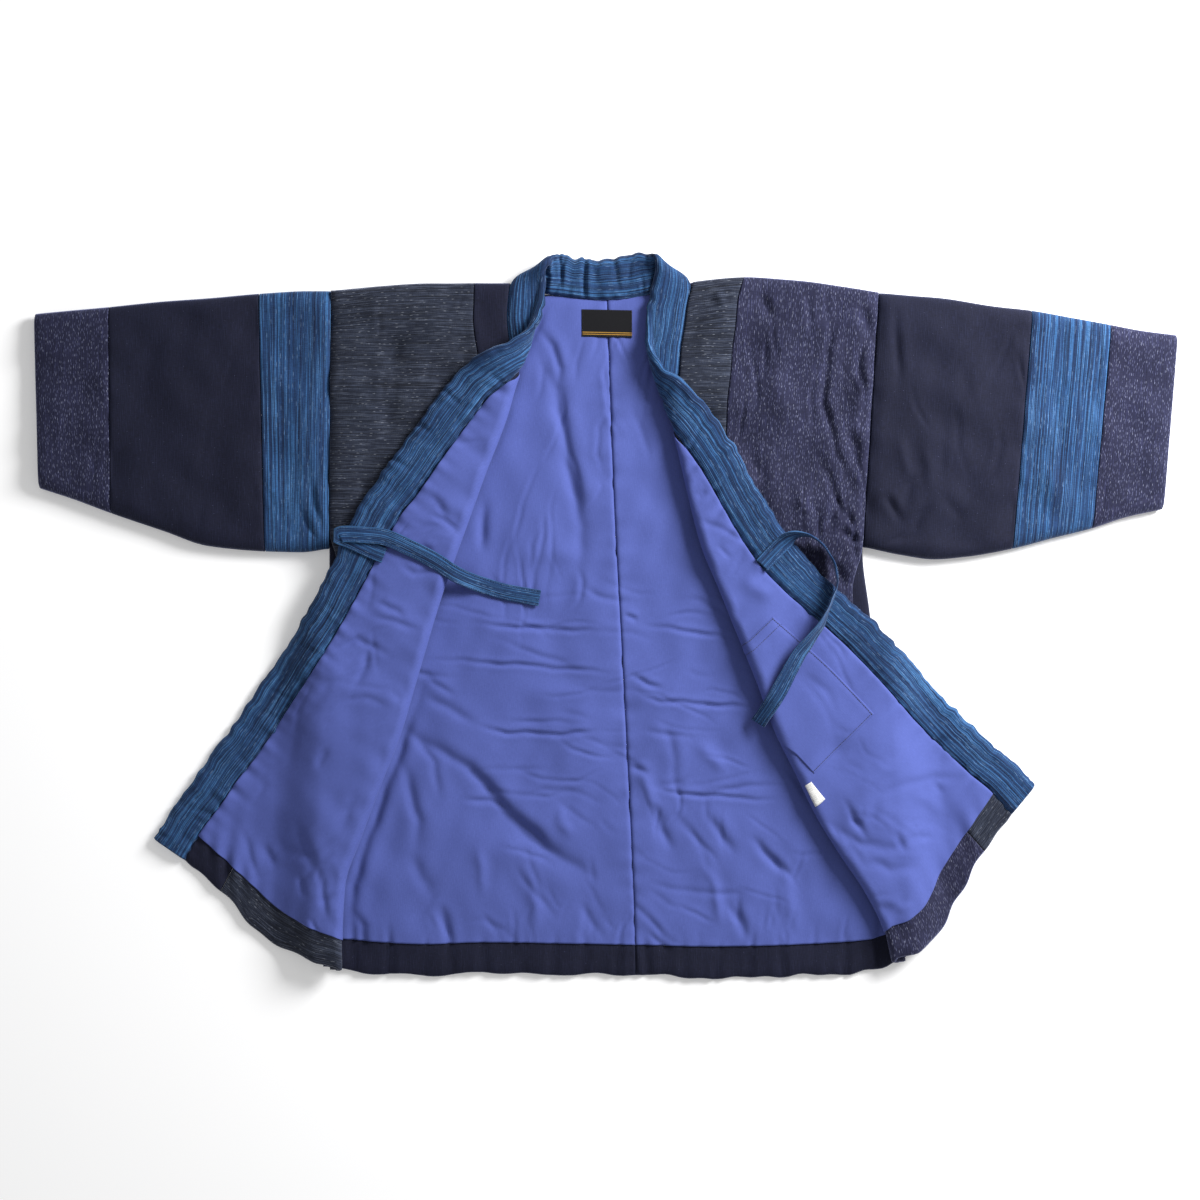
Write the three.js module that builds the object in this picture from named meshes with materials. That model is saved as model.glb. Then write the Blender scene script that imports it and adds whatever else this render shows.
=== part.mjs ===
// A hanten, the padded short coat, laid flat with its face up and both fronts turned outward.
// Millimetres, +Z up. +X is the right of the view from above, +Y points to the neck.
// The wearer's right side is on the left of that view.
import * as THREE from "three";

// Walls and seams
const WALL = 8; // padded panel: outer cloth, wadding and its backing
const SEAM_WALL = 3; // the same panel where a seam presses it
const SEAM_RUN = 14; // the padding fills out over this distance from a seam
const SKIN = 1; // lining, pocket and label cloth
const GAP = 0.3; // between pieces at a seam and between layers
const COLLAR_WALL = 10;
const COLLAR_WIDTH = 45;
const FACING = 36; // outer cloth turned in along the hem
const POCKET = { top: -32, bottom: -189, width: 95, inset: 30, bend: 1.08 };
const NECK_LABEL = { x: 1, y: 331, width: 57, height: 31 };
const CARE_LABEL = { top: -193, bottom: -217, start: 5, width: 11 };
const TIE = { width: 19, wall: 2 };

// Levels of the layers as they lie on each other
const LINING_LEVEL = WALL + GAP;
const FRONT_LEVEL = 11; // underside of a front that isn't turned
const BEND_RADIUS = 5.2; // middle of the wall where a front turns back
const LIFT = 0.9; // a pocket or label over the lining that it is sewn on
const LINING_START = 1.3; // radians round the bend, under the fold
const BEND_INSIDE = 2.4; // the padding is pressed to this on the inner side of the bend
const EDGE_DROOP = 4; // a front's seams come down to meet the back's
const DRAPE_START = 4; // past the side seam a turned front leaves what is under it
const DRAPE_END = 62; // and rests on the ground from here

// The garment's lines, as points along each
const SHOULDER_RIGHT = [
  { x: -312, y: 368 }, { x: -251, y: 374 }, { x: -199, y: 377 }, { x: -141, y: 377 },
  { x: -110, y: 377 }, { x: -81, y: 365 }, { x: -56, y: 364 }, { x: -24, y: 360 }, { x: 2, y: 360 },
];
const SHOULDER_LEFT = [
  { x: 2, y: 360 }, { x: 27, y: 362 }, { x: 53, y: 366 }, { x: 84, y: 374 }, { x: 100, y: 379 },
  { x: 159, y: 384 }, { x: 207, y: 381 }, { x: 269, y: 373 }, { x: 310, y: 366 },
];
const HEM_LINE = [
  { x: -323, y: -400 }, { x: -203, y: -408 }, { x: -138, y: -406 }, { x: 32, y: -408 },
  { x: 134, y: -411 }, { x: 216, y: -409 }, { x: 298, y: -403 }, { x: 344, y: -388 },
];
const CENTRE_SEAM = [
  { y: 361, x: 1 }, { y: 133, x: 9 }, { y: -38, x: 18 }, { y: -366, x: 33 }, { y: -411, x: 34 },
];
const SIDE_RIGHT = [
  { y: 378, x: -311.4 }, { y: 76, x: -314 }, { y: -95, x: -314 }, { y: -321, x: -318 },
  { y: -411, x: -322 },
];
const SIDE_LEFT = [
  { y: 385, x: 310 }, { y: 231, x: 300.4 }, { y: 120, x: 293.4 }, { y: 77, x: 291 }, { y: 6, x: 299 },
  { y: -72, x: 310 }, { y: -163, x: 319 }, { y: -264, x: 327 }, { y: -411, x: 344 },
];

// Rows of a front from shoulder to hem. y, side: the row's end at the armhole or side seam. fold: where
// the row meets the fold line, rise: how much higher it is there. lean: the direction in which the row
// runs once it is turned, in degrees. over: its length past the fold line up to the collar's seam,
// less than 0 where the fold line runs in the collar. turn: how far it is folded, in degrees.
const RIGHT_ROWS = [
  { y: 368, side: -311.6, fold: -72, rise: 10, lean: 148, over: -37, turn: 62, strip: 40 },
  { y: 340, side: -311.9, fold: -79, rise: 3, lean: 148, over: -33, turn: 70, strip: 38 },
  { y: 320, side: -312, fold: -85, rise: 1, lean: 148, over: -26, turn: 88, strip: 38 },
  { y: 303, side: -312.2, fold: -90, rise: 0, lean: 148, over: -18, turn: 112, strip: 38 },
  { y: 290, side: -312.3, fold: -94, rise: 0, lean: 148, over: -11, turn: 132, strip: 39 },
  { y: 276, side: -312.4, fold: -98, rise: 0, lean: 148, over: -2, turn: 152, strip: 40 },
  { y: 255, side: -312.6, fold: -104, rise: 0, lean: 148, over: 10, turn: 174, strip: 41 },
  { y: 229, side: -312.8, fold: -111, rise: 0, lean: 146, over: 25, turn: 180, strip: 42 },
  { y: 160, side: -313.2, fold: -137, rise: 0, lean: 142, over: 46, turn: 180, strip: 44 },
  { y: 96, side: -313.6, fold: -160, rise: 0, lean: 142, over: 64, turn: 180, strip: 45 },
  { y: 63, side: -305, fold: -172, rise: 0, lean: 142, over: 75, turn: 180, strip: 46 },
  { y: 23, side: -303, fold: -186, rise: 0, lean: 142, over: 82, turn: 180, strip: 46 },
  { y: -71, side: -303, fold: -214, rise: 0, lean: 142.5, over: 102, turn: 180, strip: 48 },
  { y: -132, side: -303, fold: -232, rise: 0, lean: 141.5, over: 119, turn: 180, strip: 49 },
  { y: -186, side: -304, fold: -253, rise: 0, lean: 142, over: 132, turn: 180, strip: 50 },
  { y: -247, side: -308, fold: -276, rise: 0, lean: 142, over: 147, turn: 180, strip: 51 },
  { y: -304, side: -312, fold: -295, rise: 0, lean: 141.5, over: 166, turn: 180, strip: 52 },
  { y: -363, side: -313, fold: -298, rise: 0, lean: 144.5, over: 198, turn: 180, strip: 53 },
  { y: -401, side: -313, fold: -297, rise: 0, lean: 145.5, over: 218, turn: 180, strip: 54 },
];
const LEFT_ROWS = [
  { y: 366, side: 309.2, fold: 56, rise: 13, lean: 45, over: -43, turn: 52, strip: 57 },
  { y: 340, side: 307.5, fold: 50, rise: 6, lean: 45, over: -41, turn: 60, strip: 57 },
  { y: 310, side: 305.6, fold: 50, rise: 1, lean: 45, over: -36, turn: 78, strip: 58 },
  { y: 276, side: 303.4, fold: 56, rise: 0, lean: 45, over: -27, turn: 112, strip: 58 },
  { y: 244, side: 301.4, fold: 65, rise: 0, lean: 45, over: -14, turn: 148, strip: 58 },
  { y: 198, side: 298.4, fold: 79, rise: 0, lean: 45, over: 2, turn: 174, strip: 58 },
  { y: 142, side: 294.8, fold: 92, rise: 0, lean: 44, over: 23, turn: 180, strip: 58 },
  { y: 80, side: 290.9, fold: 108, rise: 0, lean: 43, over: 40, turn: 180, strip: 57 },
  { y: 29, side: 279, fold: 129, rise: 0, lean: 43.5, over: 50, turn: 180, strip: 57 },
  { y: -16, side: 282, fold: 147, rise: 0, lean: 44, over: 67, turn: 180, strip: 56 },
  { y: -71, side: 292, fold: 170, rise: 0, lean: 44, over: 93, turn: 180, strip: 56 },
  { y: -131, side: 301, fold: 192, rise: 0, lean: 43.5, over: 122, turn: 180, strip: 55 },
  { y: -176, side: 305, fold: 214, rise: 0, lean: 44.5, over: 137, turn: 180, strip: 55 },
  { y: -225, side: 310, fold: 238, rise: 0, lean: 45.5, over: 152, turn: 180, strip: 54 },
  { y: -266, side: 314, fold: 263, rise: 0, lean: 47.5, over: 164, turn: 180, strip: 54 },
  { y: -311, side: 319, fold: 293, rise: 0, lean: 50, over: 176, turn: 180, strip: 53 },
  { y: -355, side: 332, fold: 314, rise: 0, lean: 51.5, over: 196, turn: 180, strip: 52 },
  { y: -392, side: 340, fold: 322, rise: 0, lean: 50.5, over: 215, turn: 180, strip: 52 },
];

// The collar's band from one shoulder round the back of the neck to the other: its seam and its free
// edge, each with its height.
const NECK_BAND = [
  { seamX: -108, seamY: 379.2, seamZ: 11, freeX: -70, freeY: 382.5, freeZ: 21 },
  { seamX: -99, seamY: 382.5, seamZ: 8.5, freeX: -67, freeY: 393, freeZ: 29 },
  { seamX: -87, seamY: 378.8, seamZ: 5.5, freeX: -64, freeY: 402, freeZ: 26 },
  { seamX: -72, seamY: 369, seamZ: 4, freeX: -59, freeY: 407, freeZ: 16 },
  { seamX: -53, seamY: 366, seamZ: 3.6, freeX: -48, freeY: 407, freeZ: 11 },
  { seamX: -33, seamY: 363.4, seamZ: 3.6, freeX: -31, freeY: 403, freeZ: 9.5 },
  { seamX: -10, seamY: 361.4, seamZ: 3.6, freeX: -9, freeY: 402, freeZ: 9.5 },
  { seamX: 14, seamY: 362.2, seamZ: 3.6, freeX: 13, freeY: 403, freeZ: 9.5 },
  { seamX: 34, seamY: 364.6, seamZ: 3.6, freeX: 30, freeY: 406, freeZ: 11 },
  { seamX: 53, seamY: 369.6, seamZ: 3.6, freeX: 44, freeY: 409, freeZ: 13 },
  { seamX: 70, seamY: 379.6, seamZ: 3.6, freeX: 54, freeY: 407, freeZ: 22 },
  { seamX: 86, seamY: 384, seamZ: 8, freeX: 57, freeY: 398, freeZ: 26 },
  { seamX: 95, seamY: 381.2, seamZ: 11, freeX: 56, freeY: 386.4, freeZ: 20 },
];

// Sleeves: a section every so often from the armhole to the cuff, by its top and bottom points.
const RIGHT_SLEEVE = [
  { topX: -312.5, topY: 368, endX: -315, endY: 76 }, { topX: -341, topY: 368, endX: -346, endY: 72 },
  { topX: -393, topY: 365, endX: -386, endY: 73 }, { topX: -449, topY: 360, endX: -450, endY: 79 },
  { topX: -504, topY: 356, endX: -501, endY: 96 }, { topX: -562, topY: 350, endX: -560, endY: 116 },
  { topX: -606, topY: 346, endX: -603, endY: 132 }, { topX: -648, topY: 342, endX: -643, endY: 145 },
];
const LEFT_SLEEVE = [
  { topX: 310.5, topY: 366, endX: 292, endY: 78 }, { topX: 344, topY: 363, endX: 334, endY: 69 },
  { topX: 381, topY: 360, endX: 372, endY: 64 }, { topX: 438, topY: 351, endX: 409, endY: 67 },
  { topX: 482, topY: 346, endX: 460, endY: 76 }, { topX: 527, topY: 338, endX: 506, endY: 88 },
  { topX: 571, topY: 330, endX: 550, endY: 99 }, { topX: 608, topY: 323, endX: 590, endY: 112 },
  { topX: 648, topY: 318, endX: 632, endY: 121 },
];
const SLEEVE_HEIGHT = 18;
const SLEEVE_HEIGHT_AT_SEAM = 12;
const SLEEVE_SLIT = 1.4; // between the two walls of a sleeve as it lies

// Ties: the middle of the ribbon, and the tilt of its width from level, in degrees.
const RIGHT_TIE = [
  { x: -249, y: 68, z: 32.6, tilt: 0 }, { x: -262, y: 73, z: 32.6, tilt: 0 },
  { x: -281, y: 82, z: 32.6, tilt: 0 }, { x: -292, y: 87, z: 32.8, tilt: 0 },
  { x: -300, y: 90, z: 34.4, tilt: 0 }, { x: -293, y: 92, z: 36, tilt: 0 },
  { x: -271, y: 91, z: 35.8, tilt: 0 }, { x: -247, y: 88, z: 35.6, tilt: 0 },
  { x: -219, y: 76, z: 34.6, tilt: 0 }, { x: -192, y: 62, z: 33, tilt: 0 },
  { x: -174, y: 50, z: 31.5, tilt: 0 }, { x: -161, y: 43, z: 25, tilt: 0 },
  { x: -149, y: 38, z: 16.5, tilt: 0 }, { x: -137, y: 34, z: 12.4, tilt: 0 },
  { x: -113, y: 27, z: 11, tilt: 0 }, { x: -75, y: 20, z: 11, tilt: 0 },
];
const LEFT_TIE = [
  { x: 169, y: 50, z: 32.6, tilt: 0 }, { x: 186, y: 69, z: 32.6, tilt: 0 },
  { x: 199, y: 82, z: 33.5, tilt: 8 }, { x: 212, y: 92, z: 35, tilt: 40 },
  { x: 228, y: 91, z: 33, tilt: 80 }, { x: 242, y: 82, z: 30.5, tilt: 96 },
  { x: 251, y: 69, z: 30.5, tilt: 100 }, { x: 256, y: 57, z: 32, tilt: 104 },
  { x: 259, y: 44, z: 36, tilt: 122 }, { x: 257, y: 30, z: 38, tilt: 146 },
  { x: 251, y: 14, z: 36, tilt: 168 }, { x: 243, y: -5, z: 35, tilt: 180 },
  { x: 231, y: -24, z: 34.5, tilt: 180 }, { x: 216, y: -43, z: 35.2, tilt: 180 },
  { x: 203, y: -67, z: 35.4, tilt: 182 }, { x: 193, y: -86, z: 35.2, tilt: 190 },
  { x: 185, y: -99, z: 33.6, tilt: 200 }, { x: 178, y: -110, z: 29, tilt: 207 },
  { x: 171, y: -121, z: 23.5, tilt: 207 },
];

// Broad hollows in the padded cloth, from one point to another: half-width and depth.
const BACK_HOLLOWS = [
  { x1: -225, y1: -130, x2: -110, y2: -240, reach: 42, depth: 2.6 },
  { x1: -110, y1: -240, x2: 8, y2: -312, reach: 42, depth: 2.6 },
  { x1: -58, y1: 215, x2: -32, y2: 30, reach: 36, depth: 2.2 },
  { x1: 48, y1: -200, x2: 78, y2: -290, reach: 32, depth: 2 },
  { x1: 158, y1: -240, x2: 214, y2: -302, reach: 32, depth: 2 },
];
const SLEEVE_HOLLOWS = [
  { x1: -330, y1: 120, x2: -372, y2: 220, reach: 26, depth: 3 },
  { x1: 318, y1: 150, x2: 360, y2: 95, reach: 26, depth: 3 },
  { x1: 332, y1: 340, x2: 328, y2: 240, reach: 24, depth: 2.6 },
];
const FRONT_HOLLOWS = [
  { x1: -262, y1: 340, x2: -238, y2: 170, reach: 30, depth: 3 },
  { x1: 248, y1: 300, x2: 262, y2: 160, reach: 30, depth: 3 },
];

// Tables and small helpers

/** A smooth curve through one column of a table, which never swings past its rows. */
function column(table, along, name) {
  const rows = [...table].sort((a, b) => a[along] - b[along]);
  const at = rows.map((row) => row[along]);
  const value = rows.map((row) => row[name]);
  const slope = at.slice(1).map((x, i) => (value[i + 1] - value[i]) / (x - at[i]));
  const tangent = value.map((_, i) => {
    if (i === 0 || i === value.length - 1) return slope[Math.min(i, slope.length - 1)];
    const [before, after] = [slope[i - 1], slope[i]];
    return before * after <= 0 ? 0 : (2 * before * after) / (before + after);
  });
  return (x) => {
    const clamped = THREE.MathUtils.clamp(x, at[0], at.at(-1));
    let i = 0;
    while (i < at.length - 2 && clamped > at[i + 1]) i += 1;
    const width = at[i + 1] - at[i];
    const t = (clamped - at[i]) / width;
    const inner = tangent[i] * (1 - t) - tangent[i + 1] * t;
    const hermite = t * (1 - t) * (inner - slope[i] * (1 - 2 * t)) * width;
    return THREE.MathUtils.lerp(value[i], value[i + 1], t) + hermite;
  };
}

/** Every named column of a table as a curve. */
function columns(table, along) {
  const names = Object.keys(table[0]).filter((name) => name !== along);
  return Object.fromEntries(names.map((name) => [name, column(table, along, name)]));
}

/** How far the padding has filled out at a distance from a seam, from 0 to 1. */
function fill(distance) {
  const part = THREE.MathUtils.clamp(distance / SEAM_RUN, 0, 1);
  return Math.sqrt(1 - (1 - part) ** 2);
}

/** A padded wall's thickness, from its distances to the seams and edges round it. */
function wallAt(full, thin, distances) {
  return thin + (full - thin) * distances.reduce((part, d) => part * fill(d), 1);
}

/** The depth of the broad hollows at a point seen from above. */
function hollow(list, x, y) {
  return list.reduce((sum, h) => {
    const [dx, dy] = [h.x2 - h.x1, h.y2 - h.y1];
    const along = THREE.MathUtils.clamp(((x - h.x1) * dx + (y - h.y1) * dy) / (dx * dx + dy * dy), 0, 1);
    const off = Math.hypot(x - h.x1 - along * dx, y - h.y1 - along * dy) / h.reach;
    return sum + (off < 1 ? h.depth * (1 - off * off) ** 2 : 0);
  }, 0);
}

/** Places for count + 1 lines from 0 to length, closer together inside the zones. */
function spread(count, length, zones) {
  const samples = 240;
  const share = (z, x) => (x >= z.from && x <= z.to ? z.lines / (z.to - z.from) : 0);
  const density = (x) => zones.reduce((sum, z) => sum + share(z, x), count / length);
  const total = [0];
  for (let i = 0; i < samples; i += 1) total.push(total[i] + density(((i + 0.5) * length) / samples));
  const places = [];
  for (let k = 0, i = 0; k <= count; k += 1) {
    const want = (total[samples] * k) / count;
    while (i < samples - 1 && total[i + 1] < want) i += 1;
    const part = (want - total[i]) / (total[i + 1] - total[i]);
    places.push(((i + Math.min(part, 1)) * length) / samples);
  }
  return places;
}

/** The index of the value nearest to a place. */
function nearestTo(values, place) {
  return values.reduce((best, v, i) => (Math.abs(v - place) < Math.abs(values[best] - place) ? i : best), 0);
}

/** The two zones in which the padding thins towards a strip's edges. */
function edgeZones(length, lines) {
  return [{ from: 0, to: SEAM_RUN, lines }, { from: length - SEAM_RUN, to: length, lines }];
}

// Solids

const coat = new THREE.Group();
const FINISH = {
  blueStripe: { color: 0x24486f, roughness: 0.85 },
  charcoal: { color: 0x2b3140, roughness: 0.9 },
  speckled: { color: 0x282a4c, roughness: 0.88 },
  plainNavy: { color: 0x1a1c2e, roughness: 0.9 },
  lining: { color: 0x585caa, roughness: 0.8 },
  labelBlack: { color: 0x121214, roughness: 0.6 },
  labelWhite: { color: 0xe4e4e2, roughness: 0.7 },
};

/** Adds one closed solid to the coat, faces outward. */
function addSolid(name, finish, points, triangles) {
  const vector = (i) => new THREE.Vector3(...points[i]);
  const volume = triangles.reduce((sum, [a, b, c]) => sum + vector(a).dot(vector(b).cross(vector(c))), 0);
  const faces = volume > 0 ? triangles : triangles.map(([a, b, c]) => [a, c, b]);
  const geometry = new THREE.BufferGeometry();
  geometry.setAttribute("position", new THREE.Float32BufferAttribute(points.flat(), 3));
  geometry.setIndex(faces.flat());
  geometry.computeVertexNormals();
  const mesh = new THREE.Mesh(geometry, new THREE.MeshStandardMaterial({ ...FINISH[finish], metalness: 0 }));
  mesh.name = name;
  coat.add(mesh);
}

/** A wall between two faces given on the same grid of rows: one closed solid of the cells to keep. */
function addWall(name, finish, grid, keep = () => true) {
  const [rows, width] = [grid.length, grid[0].length];
  const points = [...grid.flat().map((cell) => cell.face), ...grid.flat().map((cell) => cell.back)];
  const kept = (i, j) => i >= 0 && j >= 0 && i < rows - 1 && j < width - 1 && keep(i, j);
  const triangles = [];
  for (let i = 0; i < rows - 1; i += 1) {
    for (let j = 0; j < width - 1; j += 1) {
      if (!kept(i, j)) continue;
      const face = [i * width + j, i * width + j + 1, (i + 1) * width + j + 1, (i + 1) * width + j];
      const back = face.map((index) => index + rows * width);
      triangles.push([face[0], face[1], face[2]], [face[0], face[2], face[3]]);
      triangles.push([back[0], back[2], back[1]], [back[0], back[3], back[2]]);
      const beyond = [kept(i - 1, j), kept(i, j + 1), kept(i + 1, j), kept(i, j - 1)];
      beyond.forEach((neighbour, k) => {
        if (neighbour) return;
        const m = (k + 1) % 4;
        triangles.push([face[m], face[k], back[k]], [face[m], back[k], back[m]]);
      });
    }
  }
  addSolid(name, finish, points, triangles);
}

/** A solid through closed sections with equal numbers of points, flat at both ends. */
function addSweep(name, finish, sections) {
  const around = sections[0].length;
  const triangles = [];
  for (let i = 0; i < sections.length - 1; i += 1) {
    for (let j = 0; j < around; j += 1) {
      const [a, b] = [i * around + j, i * around + ((j + 1) % around)];
      triangles.push([a, b, b + around], [a, b + around, a + around]);
    }
  }
  const last = (sections.length - 1) * around;
  for (let j = 1; j < around - 1; j += 1) {
    triangles.push([0, j + 1, j], [last, last + j, last + j + 1]);
  }
  addSolid(name, finish, sections.flat(), triangles);
}

/** An open tube through pairs of closed sections, one outside and one inside. */
function addTube(name, finish, sections) {
  const around = sections[0].outer.length;
  const count = sections.length;
  const points = [...sections.flatMap((s) => s.outer), ...sections.flatMap((s) => s.inner)];
  const triangles = [];
  const quad = (a, b, c, d) => triangles.push([a, b, c], [a, c, d]);
  const inside = count * around;
  for (let j = 0; j < around; j += 1) {
    const next = (j + 1) % around;
    for (let i = 0; i < count - 1; i += 1) {
      const [a, b] = [i * around + j, i * around + next];
      quad(a, b, b + around, a + around);
      quad(inside + a, inside + a + around, inside + b + around, inside + b);
    }
    const last = (count - 1) * around;
    quad(j, inside + j, inside + next, next);
    quad(last + j, last + next, inside + last + next, inside + last + j);
  }
  addSolid(name, finish, points, triangles);
}

// Back and its lining

const hemLine = column(HEM_LINE, "x", "y");
const centreSeam = column(CENTRE_SEAM, "y", "x");
const HALVES = {
  right: {
    top: column(SHOULDER_RIGHT, "x", "y"),
    side: column(SIDE_RIGHT, "y", "x"),
    corner: SHOULDER_RIGHT[0].x,
    hem: SIDE_RIGHT.at(-1).x,
  },
  left: {
    top: column(SHOULDER_LEFT, "x", "y"),
    side: column(SIDE_LEFT, "y", "x"),
    corner: SHOULDER_LEFT.at(-1).x,
    hem: SIDE_LEFT.at(-1).x,
  },
};
const CENTRE_WALL = 6.6; // the padding is hardly pressed at the centre seam

/** A point of the back: across from the side seam to the centre, down from the neck to the hem. */
function backPoint(half, across, down) {
  const topX = THREE.MathUtils.lerp(half.corner, centreSeam(400), across);
  const hemX = THREE.MathUtils.lerp(half.hem, centreSeam(-400), across);
  const [topY, hemY] = [half.top(topX), hemLine(hemX)];
  const y = THREE.MathUtils.lerp(topY, hemY, down);
  const [sideX, centreX] = [half.side(y), centreSeam(y)];
  const centreGap = (Math.sign(half.corner) * GAP) / 2;
  const x = THREE.MathUtils.lerp(sideX, centreX + centreGap, across);
  const width = Math.abs(centreX - sideX);
  const rim = wallAt(WALL, SEAM_WALL, [across * width, down * (topY - hemY), (1 - down) * (topY - hemY)]);
  const middle = WALL - (WALL - CENTRE_WALL) * (1 - fill((1 - across) * width));
  return { x, y, top: Math.min(rim, middle) - hollow(BACK_HOLLOWS, x, y) };
}

const BACK_SIZE = { width: 320, height: 780 };
const LINING_INSET = 10; // the lining is caught inside the seams round it

/** The lines of the back's grid, as parts of its width and height. One lies where the facing ends. */
function backLines() {
  const { width, height } = BACK_SIZE;
  const across = spread(11, width, edgeZones(width, 3)).map((d) => d / width);
  const down = spread(18, height, edgeZones(height, 3)).map((d) => d / height);
  const facing = 1 - FACING / height;
  down[nearestTo(down, facing)] = facing;
  return { across, down, facing };
}

function addBack(name, half) {
  const { across, down } = backLines();
  const grid = down.map((v) =>
    across.map((u) => {
      const p = backPoint(half, u, v);
      return { face: [p.x, p.y, p.top], back: [p.x, p.y, 0] };
    }),
  );
  addWall(name, "plainNavy", grid);
}

function addBackLining(name, half) {
  const { across, down, facing } = backLines();
  const inside = across.filter((u) => u * BACK_SIZE.width > LINING_INSET);
  const shown = down.filter((v) => v * BACK_SIZE.height > LINING_INSET && v <= facing);
  const grid = shown.map((v) =>
    inside.map((u) => {
      const p = backPoint(half, u, v);
      const level = p.top + GAP;
      return { face: [p.x, p.y, level + SKIN], back: [p.x, p.y, level] };
    }),
  );
  addWall(name, "lining", grid);
}

// Fronts: one surface from the side seam to the collar's free edge, turned back at the fold line

const BEND_GAP = 1.4; // more at a front's seams where they run round the bend
const FRONT_LINES = 28;
const WIDE_COLUMNS = 15;
const NARROW_COLUMNS = 8;
const TURNS = {
  right: [{ from: 312, to: 246, lines: 8 }, { from: 206, to: 116, lines: 7 }],
  left: [{ from: 262, to: 176, lines: 8 }, { from: 58, to: -26, lines: 7 }],
}; // where the collar turns over, and where the seam of the two strips runs round the bend

/** The curves of one front and the grid that its strips, its lining and its collar share. */
function makeFront(rows, half, sign, turns) {
  const front = { ...columns(rows, "y"), top: rows[0].y, hem: rows.at(-1).y, half, sign };
  const length = front.top - front.hem;
  const zones = turns.map((z) => ({ from: front.top - z.from, to: front.top - z.to, lines: z.lines }));
  const lines = spread(FRONT_LINES, length, [...edgeZones(length, 3), ...zones]).map((d) => front.top - d);
  const facing = front.hem + FACING;
  front.facingLine = nearestTo(lines, facing);
  lines[front.facingLine] = facing;
  front.grid = lines.map((y) => {
    const row = frontRow(front, y);
    const between = row.seam - row.strip;
    const apart = seamGap(row, between);
    return {
      y, row,
      wide: rowPlaces(row, GAP, between - apart / 2, WIDE_COLUMNS),
      narrow: rowPlaces(row, between + apart / 2, row.seam, NARROW_COLUMNS),
    };
  });
  return front;
}

/** The gap at a seam that runs along a front, wider where the seam goes round the bend. */
function seamGap(row, place) {
  const fromBend = Math.abs(place - row.bendStart - row.bendLength / 2);
  return GAP + BEND_GAP * (1 - THREE.MathUtils.smoothstep(fromBend, 14, 40));
}

/** The grid's places along one row of a strip, closer at its edges and round the bend. */
function rowPlaces(row, start, end, count) {
  const from = row.bendStart - start - 1;
  const bend = { from, to: from + row.bendLength + 2, lines: 8 };
  return spread(count, end - start, [...edgeZones(end - start, 3), bend]).map((d) => start + d);
}

/** One row of a front: its directions before and after the fold line, and its length to the collar. */
function frontRow(front, y) {
  const start = new THREE.Vector2(front.side(y), y);
  const fold = new THREE.Vector2(front.fold(y), y + front.rise(y));
  const lean = THREE.MathUtils.degToRad(front.lean(y));
  const before = fold.clone().sub(start).normalize();
  const after = new THREE.Vector2(Math.cos(lean), Math.sin(lean));
  const turn = THREE.MathUtils.degToRad(front.turn(y));
  const across = before.clone().sub(after).multiplyScalar(0.5);
  const slant = across.length();
  const reach = ((BEND_RADIUS + WALL / 2) * turn) / Math.PI / slant;
  const bendStart = start.distanceTo(fold) - reach;
  return {
    start, before, turn, slant, bendStart,
    along: before.clone().add(after).multiplyScalar(0.5),
    across: across.divideScalar(slant),
    bendLength: (BEND_RADIUS * turn) / slant,
    seam: start.distanceTo(fold) + front.over(y),
    strip: front.strip(y),
  };
}

/** How far a turned front has come down to the ground past the side seam, from 0 to 1. */
function drape(front, x, y) {
  const past = front.sign * (x - front.half.side(y));
  const part = THREE.MathUtils.smoothstep(past, DRAPE_START, DRAPE_END);
  return part * THREE.MathUtils.smoothstep(-y, -60, -10);
}

/** A point of a front's wall: s along its row, and the distances of its face and back from its middle. */
function frontCell(front, row, s, wall, full, faceOut, backOut, droop = 0) {
  const part = THREE.MathUtils.clamp((s - row.bendStart) / row.bendLength, 0, 1);
  const bent = part * row.turn;
  const pressed = Math.max(0, faceOut - BEND_INSIDE) * Math.sin(part * Math.PI);
  const past = Math.max(0, s - row.bendStart);
  const beyond = Math.max(0, past - row.bendLength) * row.slant;
  const out = BEND_RADIUS * Math.sin(bent) + beyond * Math.cos(bent);
  const up = BEND_RADIUS * (1 - Math.cos(bent)) + beyond * Math.sin(bent);
  const plan = row.start.clone().addScaledVector(row.before, Math.min(s, row.bendStart));
  plan.addScaledVector(row.along, past).addScaledVector(row.across, past > 0 ? out : 0);
  const settled = ((full - wall) / 2) * Math.abs(Math.cos(bent));
  let z = FRONT_LEVEL + WALL / 2 + up - settled - droop;
  if (bent > Math.PI / 2) z -= drape(front, plan.x, plan.y) * (z - wall / 2);
  const normal = new THREE.Vector3(
    -row.across.x * Math.sin(bent), -row.across.y * Math.sin(bent), Math.cos(bent),
  );
  const at = (offset) => [plan.x + normal.x * offset, plan.y + normal.y * offset, z + normal.z * offset];
  return { face: at(faceOut - pressed), back: at(-backOut), bent, plan };
}

/** How far a front's seams droop towards the edge of the back under it. */
function droop(front, x, y) {
  const inside = [front.sign * (front.half.side(y) - x), front.half.top(x) - y, y - hemLine(x)];
  return EDGE_DROOP * (1 - fill(Math.min(...inside)));
}

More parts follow.
